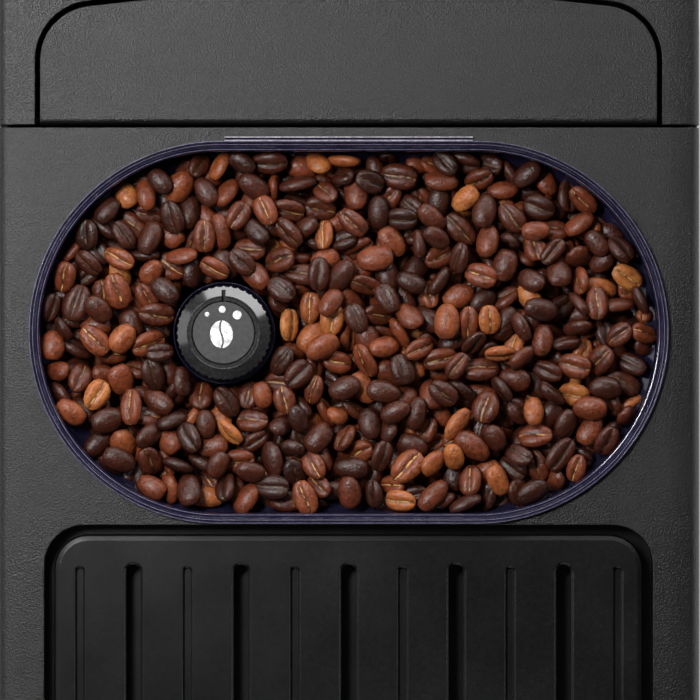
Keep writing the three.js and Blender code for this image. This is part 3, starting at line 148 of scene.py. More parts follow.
def make_marks():
    """Slow changes of shine from handling, and dust lying on what faces up."""
    group, given, result = effect("handling", {"Size": 30 * mm}, {"Mottle": "Float", "Dust": "Float"})
    place = object_place(group)
    wide = noise(group, place, maths(group, "DIVIDE", 1.0, given.outputs["Size"]), 4.0, 0.55)
    specks = noise(group, place, 900.0, 2.0)
    upward = put(group, "SeparateXYZ", {0: put(group, "NewGeometry").outputs["Normal"]}).outputs["Z"]
    dust = times(group, spread(group, specks, 0.60, 0.78), spread(group, upward, 0.6, 1.0))
    dust = times(group, dust, spread(group, wide, 0.4, 0.7))
    fill(group, result, {"Mottle": wide, "Dust": dust})
    return group


def make_strokes():
    """Fine strokes of brushing or turning, longest along the axis with the least share."""
    group, given, result = effect("brush strokes", {"Along X": 1.0, "Along Y": 1.0, "Along Z": 1.0},
                                  {"Height": "Float", "Tone": "Float"})
    shares = {index: given.outputs[index] for index in range(3)}
    stretch = put(group, "CombineXYZ", shares).outputs[0]
    place = put(group, "VectorMath", {0: object_place(group), 1: stretch}, operation="MULTIPLY")
    place = place.outputs[0]
    fine, wide = noise(group, place, 1800.0, 3.0), noise(group, place, 260.0, 3.0)
    fill(group, result, {"Height": fine, "Tone": wide})
    return group


moulded_grain = make_grain()
softened_edges = make_edges()
handling = make_marks()
brush_strokes = make_strokes()


def spaced(values):
    """Sockets named as arguments: the same, under the names that Blender shows."""
    return {name.replace("_", " "): value for name, value in values.items()}


def use(tree, group, **values):
    """A shared effect placed in a material with its own values; gives the effect's outputs."""
    node = tree.nodes.new("ShaderNodeGroup")
    node.node_tree = group
    fill(tree, node, spaced(values))
    return node.outputs


def surface(name, **sockets):
    """A material with one Principled shader, its plain values set on the shader itself."""
    material = bpy.data.materials.new(name)
    material.use_nodes = True
    tree = material.node_tree
    tree.nodes.clear()
    shader = put(tree, "BsdfPrincipled", spaced(sockets))
    put(tree, "OutputMaterial", {"Surface": shader.outputs[0]})
    return material, tree, shader


def relief(tree, height, depth, normal):
    """A normal that shows the height as dents and bumps of a depth."""
    return put(tree, "Bump", {"Height": height, "Distance": depth, "Normal": normal}).outputs["Normal"]


dust_colour = (0.32, 0.31, 0.29, 1.0)
# Painted highlight for the edges of clear plastic
painted_edge_highlight = (0.62, 0.62, 0.78, 1.0)
lacquer_green = (0.012, 0.09, 0.045, 1.0)
track_green = (0.03, 0.2, 0.09, 1.0)
shaded_green = (0.01, 0.06, 0.035, 1.0)
# Painted shade in the beans' crease
crease_painted_shade = (0.010, 0.0045, 0.003, 1.0)
chaff_gold = (0.60, 0.33, 0.11, 1.0)
# Painted shade in the pits of the beans' wrinkles
pit_painted_shade = (0.008, 0.004, 0.003, 1.0)
# From the darkest roast to the palest bean
roast_colours = [(0.0, (0.012, 0.003, 0.0016, 1)), (0.35, (0.064, 0.0135, 0.0055, 1)),
                 (0.62, (0.185, 0.040, 0.013, 1)), (0.82, (0.36, 0.105, 0.028, 1)),
                 (1.0, (0.56, 0.22, 0.055, 1))]


def grey(value):
    return (value, value, value, 1.0)


def toned(colour, share, lift=0.0, most=math.inf):
    """The colour made lighter or darker."""
    return tuple(min(most, part * share + lift) for part in colour) + (1.0,)


def moulding(name, colour, dull, pebble, depth, rub=2.2, edge=0.5, dust=0.10, **sockets):
    """Moulded plastic: grain, uneven shine, rubbed edges and a little dust."""
    material, tree, shader = surface(name, **sockets)
    grain = use(tree, moulded_grain, Pebble=pebble * mm)
    edges = use(tree, softened_edges, Radius=edge * mm)
    marks = use(tree, handling, Size=50 * mm)
    uneven, rubbed = 0.05, -0.08  # what handling and rubbed edges add to the roughness
    dark, light = toned(colour, 0.55), toned(colour, 1.5)
    shade = blended(tree, spread(tree, grain["Tone"], 0.40, 0.60), dark, light)
    shade = blended(tree, edges["Rub_and_sheen"], shade, toned(colour, rub, 0.004))
    shade = blended(tree, times(tree, marks["Dust"], dust), shade, dust_colour)
    rough = spread(tree, marks["Mottle"], 0.3, 0.7, dull - uneven, dull + uneven)
    rough = plus(tree, rough, times(tree, edges["Rub_and_sheen"], rubbed))
    normal = relief(tree, grain["Height"], depth * mm, edges["Normal"])
    fill(tree, shader, {"Base Color": shade, "Roughness": rough, "Normal": normal})
    return material


def metal(name, colour, dull, strokes, depth=0.004, streak=1.0):
    """Metal with strokes from its making and bright rubbed edges."""
    material, tree, shader = surface(name, Metallic=1.0)
    lines = use(tree, brush_strokes, Along_X=strokes[0], Along_Y=strokes[1], Along_Z=strokes[2])
    edges = use(tree, softened_edges, Radius=0.3 * mm)
    marks = use(tree, handling, Size=20 * mm)
    uneven, stroked = 0.06, 0.05 * streak  # what handling and strokes add to the roughness
    dark, light = toned(colour, 1.0 - 0.2 * streak), toned(colour, 1.0 + 0.12 * streak)
    shade = blended(tree, spread(tree, lines["Tone"], 0.35, 0.65), dark, light)
    shade = blended(tree, edges["Rub_and_sheen"], shade, toned(colour, 1.5, most=1.0))
    rough = plus(tree, spread(tree, marks["Mottle"], 0.3, 0.7, dull - uneven, dull + uneven),
                 spread(tree, lines["Height"], 0.3, 0.7, -stroked, stroked))
    normal = relief(tree, lines["Height"], depth * mm, edges["Normal"])
    fill(tree, shader, {"Base Color": shade, "Roughness": rough, "Normal": normal})
    return material


def clear_moulding(name, colour, dull):
    """Clear plastic with faint wiping marks and a painted highlight along its edges."""
    material, tree, shader = surface(name, Transmission_Weight=0.86, IOR=1.49)
    edges = use(tree, softened_edges, Radius=0.08 * mm)
    marks = use(tree, handling, Size=12 * mm)
    plain, pale = toned(colour, 1.0), toned(colour, 1.25)
    shade = blended(tree, spread(tree, marks["Mottle"], 0.35, 0.65), plain, pale)
    # Painted highlight: the rims of the edges are blended towards a pale colour
    lines = use(tree, softened_edges, Radius=0.3 * mm)
    shade = blended(tree, times(tree, lines["Rub_and_sheen"], 0.8), shade, painted_edge_highlight)
    rough = spread(tree, marks["Mottle"], 0.35, 0.7, dull, dull + 0.06)
    normal = relief(tree, marks["Mottle"], 0.006 * mm, edges["Normal"])
    fill(tree, shader, {"Base Color": shade, "Roughness": rough, "Normal": normal})
    return material


def board():
    """Green lacquer with darker tracks."""
    material, tree, shader = surface("circuit board", Coat_Weight=0.4)
    tracks = put(tree, "TexBrick", {"Vector": object_place(tree), "Scale": 120.0, "Mortar Size": 0.03})
    tracks = tracks.outputs["Fac"]
    marks = use(tree, handling, Size=10 * mm)
    edges = use(tree, softened_edges, Radius=0.2 * mm)
    shade = blended(tree, tracks, lacquer_green, track_green)
    shade = blended(tree, times(tree, marks["Mottle"], 0.4), shade, shaded_green)
    rough = spread(tree, marks["Mottle"], 0.3, 0.7, 0.25, 0.4)
    normal = relief(tree, tracks, 0.03 * mm, edges["Normal"])
    fill(tree, shader, {"Base Color": shade, "Roughness": rough, "Normal": normal})
    return material


def roasted():
    """Roasted beans: each has its own roast, pale skin left in its seam, painted shade in the crease and
    in the pits of the wrinkles, and a light oil sheen.
    """
    material, tree, shader = surface("coffee beans", IOR=1.47, Coat_Weight=0.06, Coat_Roughness=0.22,
                                     Specular_IOR_Level=0.42)
    blotch_roast, crease_shade_share, chaff_dull = 0.09, 0.62, 0.25
    roast = put(tree, "Attribute", attribute_name="roast").outputs["Fac"]
    seam = put(tree, "Attribute", attribute_name="seam").outputs["Fac"]
    place = object_place(tree)
    blotches = noise(tree, place, 190.0, 4.0, 0.6)
    wrinkles = noise(tree, place, 720.0, 4.0, 0.55, 0.6)
    skin = noise(tree, place, 420.0, 3.0)
    uneven_roast = plus(tree, roast, spread(tree, blotches, 0.3, 0.7, -blotch_roast, blotch_roast))
    ramp = put(tree, "ValToRGB", {"Fac": uneven_roast})
    stops = ramp.color_ramp.elements
    stops[0].position, stops[0].color = roast_colours[0]
    stops[1].position, stops[1].color = roast_colours[-1]
    for position, colour in roast_colours[1:-1]:
        stops.new(position).color = colour
    # Painted shade: the crease is darkened towards a deep brown
    crease = spread(tree, seam, 0.12, 0.34)
    shade = blended(tree, times(tree, crease, crease_shade_share), ramp.outputs["Color"], crease_painted_shade)
    chaff = times(tree, spread(tree, seam, 0.42, 0.66), spread(tree, skin, 0.44, 0.56))
    chaff = times(tree, chaff, spread(tree, roast, 0.28, 0.6, 0.12, 1.0))
    shade = blended(tree, chaff, shade, chaff_gold)
    # Painted shade: the low places of the wrinkles, where the bump dips, are darkened
    shade = blended(tree, spread(tree, wrinkles, 0.32, 0.5, 0.55, 0.0), shade, pit_painted_shade)
    rough = plus(tree, spread(tree, blotches, 0.3, 0.7, 0.30, 0.46), times(tree, chaff, chaff_dull))
    bump = put(tree, "Bump", {"Height": wrinkles, "Distance": 0.42 * mm, "Strength": 0.9})
    fill(tree, shader, {"Base Color": shade, "Roughness": rough, "Normal": bump.outputs["Normal"]})
    return material


# For a moulding: its colour, roughness, and the size and depth of its grain in millimetres.
# For a metal: its colour, roughness and the shares along the axes that draw out its strokes.
finish = {
    "casing_grey": moulding("casing grey", (0.0036, 0.0037, 0.0038), 0.34, 0.6, 0.24),
    "trim_black": moulding("trim black", (0.009, 0.009, 0.0095), 0.5, 0.7, 0.06),
    "tray_black": moulding("tray black", (0.0036, 0.0037, 0.0038), 0.33, 0.7, 0.012, dust=0.03),
    "panel_gloss": moulding("panel gloss", (0.007, 0.007, 0.008), 0.14, 1.6, 0.002, dust=0.05),
    "window_dark": moulding("dark window", (0.004, 0.004, 0.006), 0.08, 2.0, 0.001, dust=0.04,
                            Coat_Weight=0.5, Coat_Roughness=0.04),
    "knob_black": moulding("knob black", (0.02, 0.02, 0.021), 0.26, 0.5, 0.004, edge=0.15, dust=0.04,
                           Coat_Weight=0.8, Coat_Roughness=0.12),
    "knob_cap": moulding("cap grey", (0.03, 0.03, 0.03), 0.5, 0.4, 0.01, edge=0.2, dust=0.04),
    "nylon": moulding("natural nylon", (0.6, 0.57, 0.5), 0.42, 0.9, 0.02, rub=1.1, dust=0.15),
    "rubber": moulding("black rubber", (0.014, 0.014, 0.014), 0.7, 0.6, 0.04, rub=1.6, dust=0.4),
    "float_red": moulding("red moulding", (0.5, 0.03, 0.02), 0.3, 0.8, 0.01, rub=1.2),
    "hose_clear": moulding("milky silicone", (0.62, 0.61, 0.55), 0.4, 1.2, 0.02, rub=1.1,
                           Subsurface_Weight=0.3, Subsurface_Radius=(0.01, 0.01, 0.008)),
    "smoked_clear": clear_moulding("smoked clear", (0.06, 0.053, 0.14), 0.06),
    # The pale beads on the hopper's rim and ledge: painted highlights
    "rim_painted_highlight": moulding("rim painted highlight", (0.11, 0.10, 0.15), 0.22, 0.6, 0.002, rub=1.4, edge=0.08, dust=0.05),
    "ledge_painted_highlight": moulding("ledge painted highlight", (0.42, 0.39, 0.42), 0.25, 0.6, 0.002, rub=1.2, edge=0.08,
                           dust=0.05),
    "tank_clear": clear_moulding("tank clear", (0.34, 0.36, 0.42), 0.08),
    "steel": metal("brushed steel", (0.6, 0.61, 0.62), 0.3, (0.12, 1.0, 1.0)),
    "plate_steel": metal("satin plate", (0.66, 0.67, 0.68), 0.48, (0.12, 1.0, 1.0), 0.001, streak=0.35),
    "burr_steel": metal("ground steel", (0.4, 0.41, 0.42), 0.36, (1.0, 1.0, 0.1)),
    "motor_can": metal("plated can", (0.36, 0.37, 0.38), 0.42, (1.0, 1.0, 0.2)),
    "cast_aluminium": metal("cast aluminium", (0.6, 0.6, 0.6), 0.5, (1.0, 1.0, 1.0), 0.03),
    "circuit_board": board(),
    "coffee_beans": roasted(),
    "print_white": moulding("white print", (0.72, 0.73, 0.73), 0.45, 0.6, 0.004, rub=1.0),
    "lit_sign": moulding("lit sign", (0.6, 0.66, 0.7), 0.4, 0.5, 0.001, rub=1.0, dust=0.02,
                         Emission_Color=(0.75, 0.88, 1.0, 1.0), Emission_Strength=0.45),
}

feet = ["foot_front_left", "foot_front_right", "foot_rear_left", "foot_rear_right"]
worn_by = {
    "casing_grey": ["left_side_panel", "right_side_panel", "rear_panel", "top_cover", "bay_wall",
                    "rear_top_cover_left", "rear_top_cover_right", "overhang_floor", "tank_lid",
                    "grounds_drawer"],
    "trim_black": ["base_pan", "inner_deck", "tank_bay_wall", "grinder_housing", "ground_chute",
                   "brew_frame"],
    "tray_black": ["cup_tray", "tray_well", "drip_tray"],
    "panel_gloss": ["control_panel", "power_button", "one_cup_button", "two_cup_button", "coffee_outlet"],
    "window_dark": ["display_window"],
    "rubber": [*feet, "brew_piston", "power_inlet", "wand_tip"],
    "smoked_clear": ["hopper"],
    "coffee_beans": ["bean_load"],
    "knob_black": ["grind_knob"],
    "knob_cap": ["knob_cap"],
    "nylon": ["knob_sleeve", "burr_carrier", "grinder_gear", "brew_cylinder", "flow_meter"],
    "burr_steel": ["burr_ring", "burr_cone"],
    "steel": ["grinder_shaft", "motor_pinion", "lead_screw", "mode_knob", "steam_wand"],
    "plate_steel": ["drip_grid"],
    "motor_can": ["grinder_motor", "brew_motor", "pump"],
    "tank_clear": ["water_tank"],
    "cast_aluminium": ["thermoblock"],
    "hose_clear": ["suction_hose", "pressure_hose"],
    "circuit_board": ["main_board", "control_board"],
    "float_red": ["tray_float"],
}
for finish_name, node_names in worn_by.items():
    for node_name in node_names:
        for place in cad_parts[node_name].material_slots:
            place.material = finish[finish_name]


# Mesh helpers

def scaled(section):
    """A section in millimetres, given in metres."""
    return [(side * mm, height * mm) for side, height in section]


def each(parts):
    """The parts once each, in their order."""
    return list(dict.fromkeys(parts))


def verts_of(geom):
    return [part for part in geom if isinstance(part, bmesh.types.BMVert)]


def mesh_of(bm, name):
    mesh = bpy.data.meshes.new(name)
    bm.to_mesh(mesh)
    bm.free()
    return mesh


def linked(name, data):
    """A new object in the scene."""
    holder = bpy.data.objects.new(name, data)
    bpy.context.scene.collection.objects.link(holder)
    return holder


def shown(bm, name, body, finish_name, replaces=(), angle=32.0):
    """The bmesh as a finished piece that rides on a body, smooth but for its sharper edges."""
    bmesh.ops.remove_doubles(bm, verts=bm.verts, dist=same_place)
    bmesh.ops.recalc_face_normals(bm, faces=bm.faces)
    for face in bm.faces:
        face.smooth = True
    for edge in bm.edges:
        edge.smooth = len(edge.link_faces) == 2 and edge.calc_face_angle(0.0) < math.radians(angle)
    piece = linked(name, mesh_of(bm, name))
    piece.data.materials.append(finish[finish_name])
    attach(piece, body)
    if replaces:
        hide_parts(*replaces)
    return piece


def bevelled(bm, edges, width, segments=3):
    bmesh.ops.bevel(bm, geom=list(edges), offset=width, offset_type="OFFSET", segments=segments,
                    profile=0.5, affect="EDGES", clamp_overlap=True, material=-1)


def loop_of(verts):
    inside = set(verts)
    return [edge for edge in each(edge for vert in verts for edge in vert.link_edges)
            if all(vert in inside for vert in edge.verts)]


stadium_sides = 160


def stadium_loop(bm, half, radius, z, x, y):
    """A level ring: a circle pulled apart into two half circles with straight sides between them."""
    ring = bmesh.ops.create_circle(bm, segments=stadium_sides, radius=radius)["verts"]
    half_step = Matrix.Rotation(math.pi / stadium_sides, 3, "Z")
    bmesh.ops.rotate(bm, verts=ring, cent=(0, 0, 0), matrix=half_step)
    for side in (1, -1):
        end = [vert for vert in ring if vert.co.x * side > 0]
        bmesh.ops.translate(bm, verts=end, vec=(side * half, 0, 0))
    bmesh.ops.translate(bm, verts=ring, vec=(x, y, z))
    return loop_of(ring)


def stadium_skin(bm, rings, y):
    """A skin drawn up through stadium rings of half straight, radius, height and centre."""
    half, radius, z, x = rings[0]
    edges = stadium_loop(bm, half, radius, z, x, y)
    for next_half, next_radius, next_z, next_x in rings[1:]:
        verts = verts_of(bmesh.ops.extrude_edge_only(bm, edges=edges)["geom"])
        edges = loop_of(verts)
        for vert in verts:
            side = math.copysign(1.0, vert.co.x - x)
            out = Vector((vert.co.x - x - side * half, vert.co.y - y)) * (next_radius / radius)
            vert.co = (next_x + side * next_half + out.x, y + out.y, next_z)
        half, radius, z, x = next_half, next_radius, next_z, next_x


facings = {"up": Matrix.Identity(3), "front": Matrix.Rotation(math.pi / 2, 3, "X"),
           "rear": Matrix.Rotation(-math.pi / 2, 3, "X")}


def turned(bm, profile, centre, segments=64, facing="up"):
    """A lathe shape: a profile of radius and height points spun once, its axis turned to face a side."""
    points = [bm.verts.new((radius, 0, height)) for radius, height in profile]
    edges = [bm.edges.new(pair) for pair in zip(points, points[1:])]
    before = set(bm.verts) - set(points)
    bmesh.ops.spin(bm, geom=points + edges, cent=(0, 0, 0), axis=(0, 0, 1), angle=math.tau,
                   steps=segments, use_merge=True)
    made = [vert for vert in bm.verts if vert not in before]
    bmesh.ops.rotate(bm, verts=made, cent=(0, 0, 0), matrix=facings[facing])
    bmesh.ops.translate(bm, verts=made, vec=centre)
    return made


def lathed(name, body, finish_name, section, place, replaced=(), segments=48, facing="up"):
    """A piece that is a single lathe shape."""
    bm = bmesh.new()
    turned(bm, scaled(section), place, segments, facing)
    shown(bm, name, body, finish_name, replaced)


def drawn(bm, section, axis, start, end, splay=0.0):
    """A bar with the same closed section all along X or Y; splay pulls the ends in on one side."""
    along_x = axis == "X"
    points = [bm.verts.new((start, side, height) if along_x else (side, start, height))
              for side, height in scaled(section)]
    face = bm.faces.new(points)
    far = verts_of(bmesh.ops.extrude_face_region(bm, geom=[face])["geom"])
    bmesh.ops.translate(bm, verts=far, vec=(end - start, 0, 0) if along_x else (0, end - start, 0))
    if splay:
        low = min(side for side, height in section) * mm
        reach = max(side for side, height in section) * mm - low
        index = 1 if along_x else 0
        for vert, way in [(vert, 1) for vert in points] + [(vert, -1) for vert in far]:
            vert.co[1 - index] += way * splay * (vert.co[index] - low) / reach
    return points + far


def sliced(bm, place, way, parts=None, nearest=same_place):
    """New edges where a plane goes through the shape, or through some of its parts."""
    bmesh.ops.bisect_plane(bm, geom=parts or bm.verts[:] + bm.edges[:] + bm.faces[:], plane_co=place,
                           plane_no=way, dist=nearest)


def block(bm, size, place, ease):
    """A small box with its edges softened, all in millimetres."""
    verts = bmesh.ops.create_cube(bm, size=1.0)["verts"]
    bmesh.ops.scale(bm, verts=verts, vec=[side * mm for side in size])
    bmesh.ops.translate(bm, verts=verts, vec=[part * mm for part in place])
    bevelled(bm, each(edge for vert in verts for edge in vert.link_edges), ease * mm, 2)


# Hopper

knob_place = Vector((-43.75, 45.0, 0)) * mm
hopper_y = 45.2 * mm
hopper_half = 44.9 * mm
rim_under = 323.2 * mm
rim_radius = 66.9 * mm
wall_outer = 64.7 * mm
wall_inner = 63.4 * mm
hopper_wall = 1.8 * mm
funnel_top = 312.0 * mm
throat_top = 262.0 * mm
throat_foot = 250.0 * mm
throat_x = 8.25 * mm
throat_inner = 20.0 * mm
throat_outer = 21.8 * mm
# The rim from the beans outwards: a sloped band, a low ridge, a groove and the raised outer edge
rim_section = [(63.4, 322.5), (63.55, 322.95), (63.95, 323.15), (65.2, 323.3), (65.45, 323.85),
               (65.7, 324.05), (65.95, 323.9), (66.1, 323.6), (66.22, 324.5), (66.38, 324.9),
               (66.6, 325.0), (66.8, 324.9), (66.9, 324.6)]
# The ledge behind the rim, cut across: how far back and how high
ledge_section = [(111.98, 323.3), (111.98, 323.9), (112.1, 324.7), (112.32, 325.0), (112.6, 324.9),
                 (112.8, 324.55), (113.2, 324.5), (113.42, 324.75), (113.6, 324.6), (113.65, 323.3)]
ledge_half = 43.9 * mm
ledge_splay = 1.4 * mm  # how much shorter the ledge is at its back, at each end
# The tube round the knob's stem, widened on top into a cup that keeps the beans off the knob
cup_section = [(7.4, 272.0), (9.0, 272.0), (9.0, 308.0), (17.7, 308.0), (17.9, 308.2), (17.9, 315.8),
               (17.75, 316.0), (17.5, 316.0), (17.4, 315.8), (17.4, 309.4), (17.2, 309.2), (7.4, 309.2)]


def hopper():
    bm = bmesh.new()
    rings = [
        (hopper_half, wall_outer, rim_under, 0),
        (hopper_half, wall_outer, funnel_top - hopper_wall, 0),
        (0, throat_outer, throat_top - hopper_wall, throat_x),
        (0, throat_outer, throat_foot, throat_x),
        (0, throat_inner, throat_foot, throat_x),
        (0, throat_inner, throat_top, throat_x),
        (hopper_half, wall_inner, funnel_top, 0),
    ]
    rings += [(hopper_half, radius * mm, height * mm, 0) for radius, height in rim_section]
    rings.append((hopper_half, rim_radius, rim_under, 0))
    stadium_skin(bm, rings + rings[:1], hopper_y)
    drawn(bm, ledge_section, "X", -ledge_half, ledge_half, splay=ledge_splay)
    turned(bm, scaled(cup_section + cup_section[:1]), knob_place, 96)
    shown(bm, "hopper_shell", "machine", "smoked_clear", ["hopper"])


def rim_line(bm, radius, width, low, high):
    """A fine bead that runs round the rim."""
    soft = width * 0.3
    section = [(radius - width / 2, low), (radius - width / 2, high - soft), (radius - soft / 2, high),
               (radius + soft / 2, high), (radius + width / 2, high - soft), (radius + width / 2, low)]
    rings = [(hopper_half, side * mm, height * mm, 0) for side, height in section]
    stadium_skin(bm, rings + rings[:1], hopper_y)


# The beads round the rim: radius, width, foot and top
rim_bead_sizes = [(66.68, 0.42, 324.2, 324.99), (65.72, 0.26, 323.7, 324.12),
                  (63.98, 0.26, 322.9, 323.24)]
# The beads along the ledge: front, rear and top
ledge_bead_sizes = [(112.12, 112.5, 324.995), (113.26, 113.6, 324.85)]


def rim_beads():
    """The beads round the rim and the two along its ledge, coloured pale as painted highlights."""
    bm = bmesh.new()
    for sizes in rim_bead_sizes:
        rim_line(bm, *sizes)
    shown(bm, "rim_beads", "machine", "rim_painted_highlight")
    bm = bmesh.new()
    for low, high, top in ledge_bead_sizes:
        drawn(bm, [(low, 323.6), (low, top - 0.1), (low + 0.1, top), (high - 0.1, top), (high, top - 0.1),
                   (high, 323.6)], "X", -ledge_half + 0.5 * mm, ledge_half - 0.5 * mm)
    shown(bm, "ledge_beads", "machine", "ledge_painted_highlight")


hopper()
rim_beads()


# Beans

bean_half = Vector((6.0, 4.3, 3.0)) * mm
# Across a bean, from the bottom of its crease round to its back: how far out and how far up
bean_section = [(0.0, -0.18), (0.15, -0.47), (0.62, -0.52), (0.97, -0.12), (0.88, 0.42), (0.50, 0.86),
                (0.0, 1.0)]


def bean_shape(name, bend, sway, plump):
    """One bean: a rounded back, a flatter face, and a crease along the face. Few faces."""
    bm = bmesh.new()
    around, along = 12, 7
    bmesh.ops.create_uvsphere(bm, u_segments=around, v_segments=along, radius=1.0)
    bmesh.ops.rotate(bm, verts=bm.verts, cent=(0, 0, 0), matrix=Matrix.Rotation(math.pi / 2, 3, "Y"))
    seam = bm.verts.layers.float.new("seam")
    for vert in bm.verts:
        x, y, z = vert.co
        ring = math.hypot(y, z)
        if ring < 0.01:
            vert.co = (x * 0.98, 0.0, 0.02 + bend * 0.6)
            continue
        step = round((math.atan2(z, y) + math.pi / 2) / math.tau * around) % around
        out, up = bean_section[min(step, around - step)]
        side = 1.0 if step < around - step else -1.0
        full = ring ** plump
        vert.co.y = out * side * full * (1.0 - 0.07 * x)
        vert.co.z = up * full + bend * (x * x - 0.4)
        if step in (0, 1, around - 1):
            vert.co.y += sway * math.sin(x * 2.6) * ring
        vert[seam] = 1.0 if step == 0 else 0.0
    for face in bm.faces:
        face.smooth = True
    bmesh.ops.recalc_face_normals(bm, faces=bm.faces)
    return mesh_of(bm, name)


bed_level = 300.0 * mm
highest_top = 320.5 * mm
knob_clear = 18.6 * mm
nestle = 0.90  # how far a bean's resting shape is drawn in, so that beans nestle together
bean_count, drop_seed, roast_seed = 1250, 11, 7
places_tried, places_weighed = 160, 28
ground_cell = 0.6 * mm
longest_reach = 7.4 * mm  # from a bean's middle
no_ground = 1.0  # stands for a height where no bean may lie
on_edge_share, on_end_share = 0.14, 0.06
# Of all beans, the share up to which a roast goes, and how dark and how pale it may be
roast_shares = [(0.55, 0.12, 0.40), (0.89, 0.40, 0.62), (1.0, 0.62, 0.9)]


def drop_beans():
    """Beans let fall one at a time: of some tries, each takes the place where it comes to rest lowest."""
    chance = np.random.default_rng(drop_seed)
    cell = ground_cell
    reach = int(longest_reach / cell)
    margin = (reach + 2) * cell
    xs = np.arange(-hopper_half - wall_inner - margin, hopper_half + wall_inner + margin, cell)
    ys = np.arange(-wall_inner - margin, wall_inner + margin, cell)
    gx, gy = np.meshgrid(xs, ys, indexing="ij")
    beyond = np.hypot(np.maximum(np.abs(gx) - hopper_half, 0), gy)
    from_knob = np.hypot(gx - knob_place.x, gy + hopper_y - knob_place.y)
    ground = np.full(gx.shape, bed_level)
    ground[(beyond > wall_inner + 0.2 * mm) | (from_knob < knob_clear)] = no_ground
    step = np.arange(-reach, reach + 1) * cell
    px, py = np.meshgrid(step, step, indexing="ij")
    placed = []
    for _ in range(bean_count):
        best = None
        halves = np.array(bean_half) * float(np.clip(chance.normal(1.0, 0.07), 0.86, 1.16))
        halves = halves * (1 + chance.normal(0, 0.05, 3))
        rows = chance.integers(reach, len(xs) - reach - 1, places_tried)
        lines = chance.integers(reach, len(ys) - reach - 1, places_tried)
        lowest = np.argsort(ground[rows, lines])[:places_weighed]
        for i, j in zip(rows[lowest], lines[lowest]):
            if ground[i, j] >= no_ground:
                continue
            roll = chance.normal(0, 0.45) + (math.pi if chance.random() < 0.5 else 0.0)
            if chance.random() < on_edge_share:
                roll += math.pi / 2
            tip = chance.normal(0, 0.36) + (1.1 if chance.random() < on_end_share else 0.0)
            turn = (Matrix.Rotation(chance.uniform(0, math.tau), 3, "Z") @ Matrix.Rotation(tip, 3, "Y")
                    @ Matrix.Rotation(roll, 3, "X"))
            axes = np.array(turn)
            form = axes @ np.diag(1 / (halves * nestle) ** 2) @ axes.T
            cross = form[0, 2] * px + form[1, 2] * py
            rest = form[0, 0] * px ** 2 + 2 * form[0, 1] * px * py + form[1, 1] * py ** 2 - 1
            under = cross ** 2 - form[2, 2] * rest
            inside = under > 0
            root = np.sqrt(np.where(inside, under, 0))
            low = (-cross - root) / form[2, 2]
            high = (-cross + root) / form[2, 2]
            patch = (slice(i - reach, i + reach + 1), slice(j - reach, j + reach + 1))
            height = float(np.max(np.where(inside, ground[patch] - low, -1)))
            bean_top = float(np.max(np.where(inside, height + high, 0)))
            if height > no_ground / 2 or bean_top > highest_top:
                continue
            if best is None or height < best[0]:
                best = (height, i, j, turn, halves, inside, high, patch)
        if best is None:
            continue
        height, i, j, turn, halves, inside, high, patch = best
        ground[patch] = np.where(inside, np.maximum(ground[patch], height + high), ground[patch])
        placed.append((Vector((xs[i], ys[j] + hopper_y, height)), turn, halves))
    return placed


def beans():
    chance = np.random.default_rng(roast_seed)
    shapes = [bean_shape("plain_bean", 0.10, 0.06, 0.86), bean_shape("swayed_bean", 0.02, -0.09, 0.8),
              bean_shape("round_bean", 0.05, 0.03, 0.74), bean_shape("bent_bean", 0.17, 0.1, 0.9)]
    corners, faces, seams, roasts = [], [], [], []
    start = 0
    for number, (middle, turn, halves) in enumerate(drop_beans()):
        shape = shapes[number % len(shapes)]
        points = np.empty(len(shape.vertices) * 3)
        shape.vertices.foreach_get("co", points)
        points = points.reshape(-1, 3) * halves
        corners.append(points @ np.array(turn).T + np.array(middle))
        faces += [[start + index for index in face.vertices] for face in shape.polygons]
        line = np.empty(len(shape.vertices))
        shape.attributes["seam"].data.foreach_get("value", line)
        seams.append(line)
        pick = chance.random()
        dark, pale = next((dark, pale) for share, dark, pale in roast_shares if pick < share)
        roasts.append(np.full(len(shape.vertices), chance.uniform(dark, pale)))
        start += len(shape.vertices)
    mesh = bpy.data.meshes.new("loose_beans")
    mesh.from_pydata(np.concatenate(corners).tolist(), [], faces)
    for name, values in (("seam", seams), ("roast", roasts)):
        layer = mesh.attributes.new(name, "FLOAT", "POINT")
        layer.data.foreach_set("value", np.concatenate(values).astype(np.float32))
    mesh.polygons.foreach_set("use_smooth", [True] * len(mesh.polygons))
    mesh.materials.append(finish["coffee_beans"])
    piece = linked("loose_beans", mesh)
    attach(piece, "machine")
    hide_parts("bean_load")


beans()


# Grind knob

knob_foot = 311.0 * mm
# Heights from the knob's foot
knob_section = [(8.0, 0.0), (15.6, 0.0), (16.1, 0.5), (16.1, 10.3), (16.1, 10.46), (15.05, 11.2),
                (14.95, 11.27), (13.0, 12.635), (12.9, 12.7), (12.6, 12.8), (12.4, 12.5), (11.25, 12.5),
                (11.05, 12.2), (11.05, 10.6), (3.4, 10.6), (3.4, 0.0), (8.0, 0.0)]
knob_teeth, tooth_reach, tooth_slope = 40, 0.7, 0.7
# The notch in the knob's rim: half its width, how steep its sides are, its two ends and its floor
notch_half, notch_side = 0.7 * mm, 0.08 * mm
notch_start, notch_end, notch_floor = 10.9 * mm, 14.97 * mm, 10.75 * mm


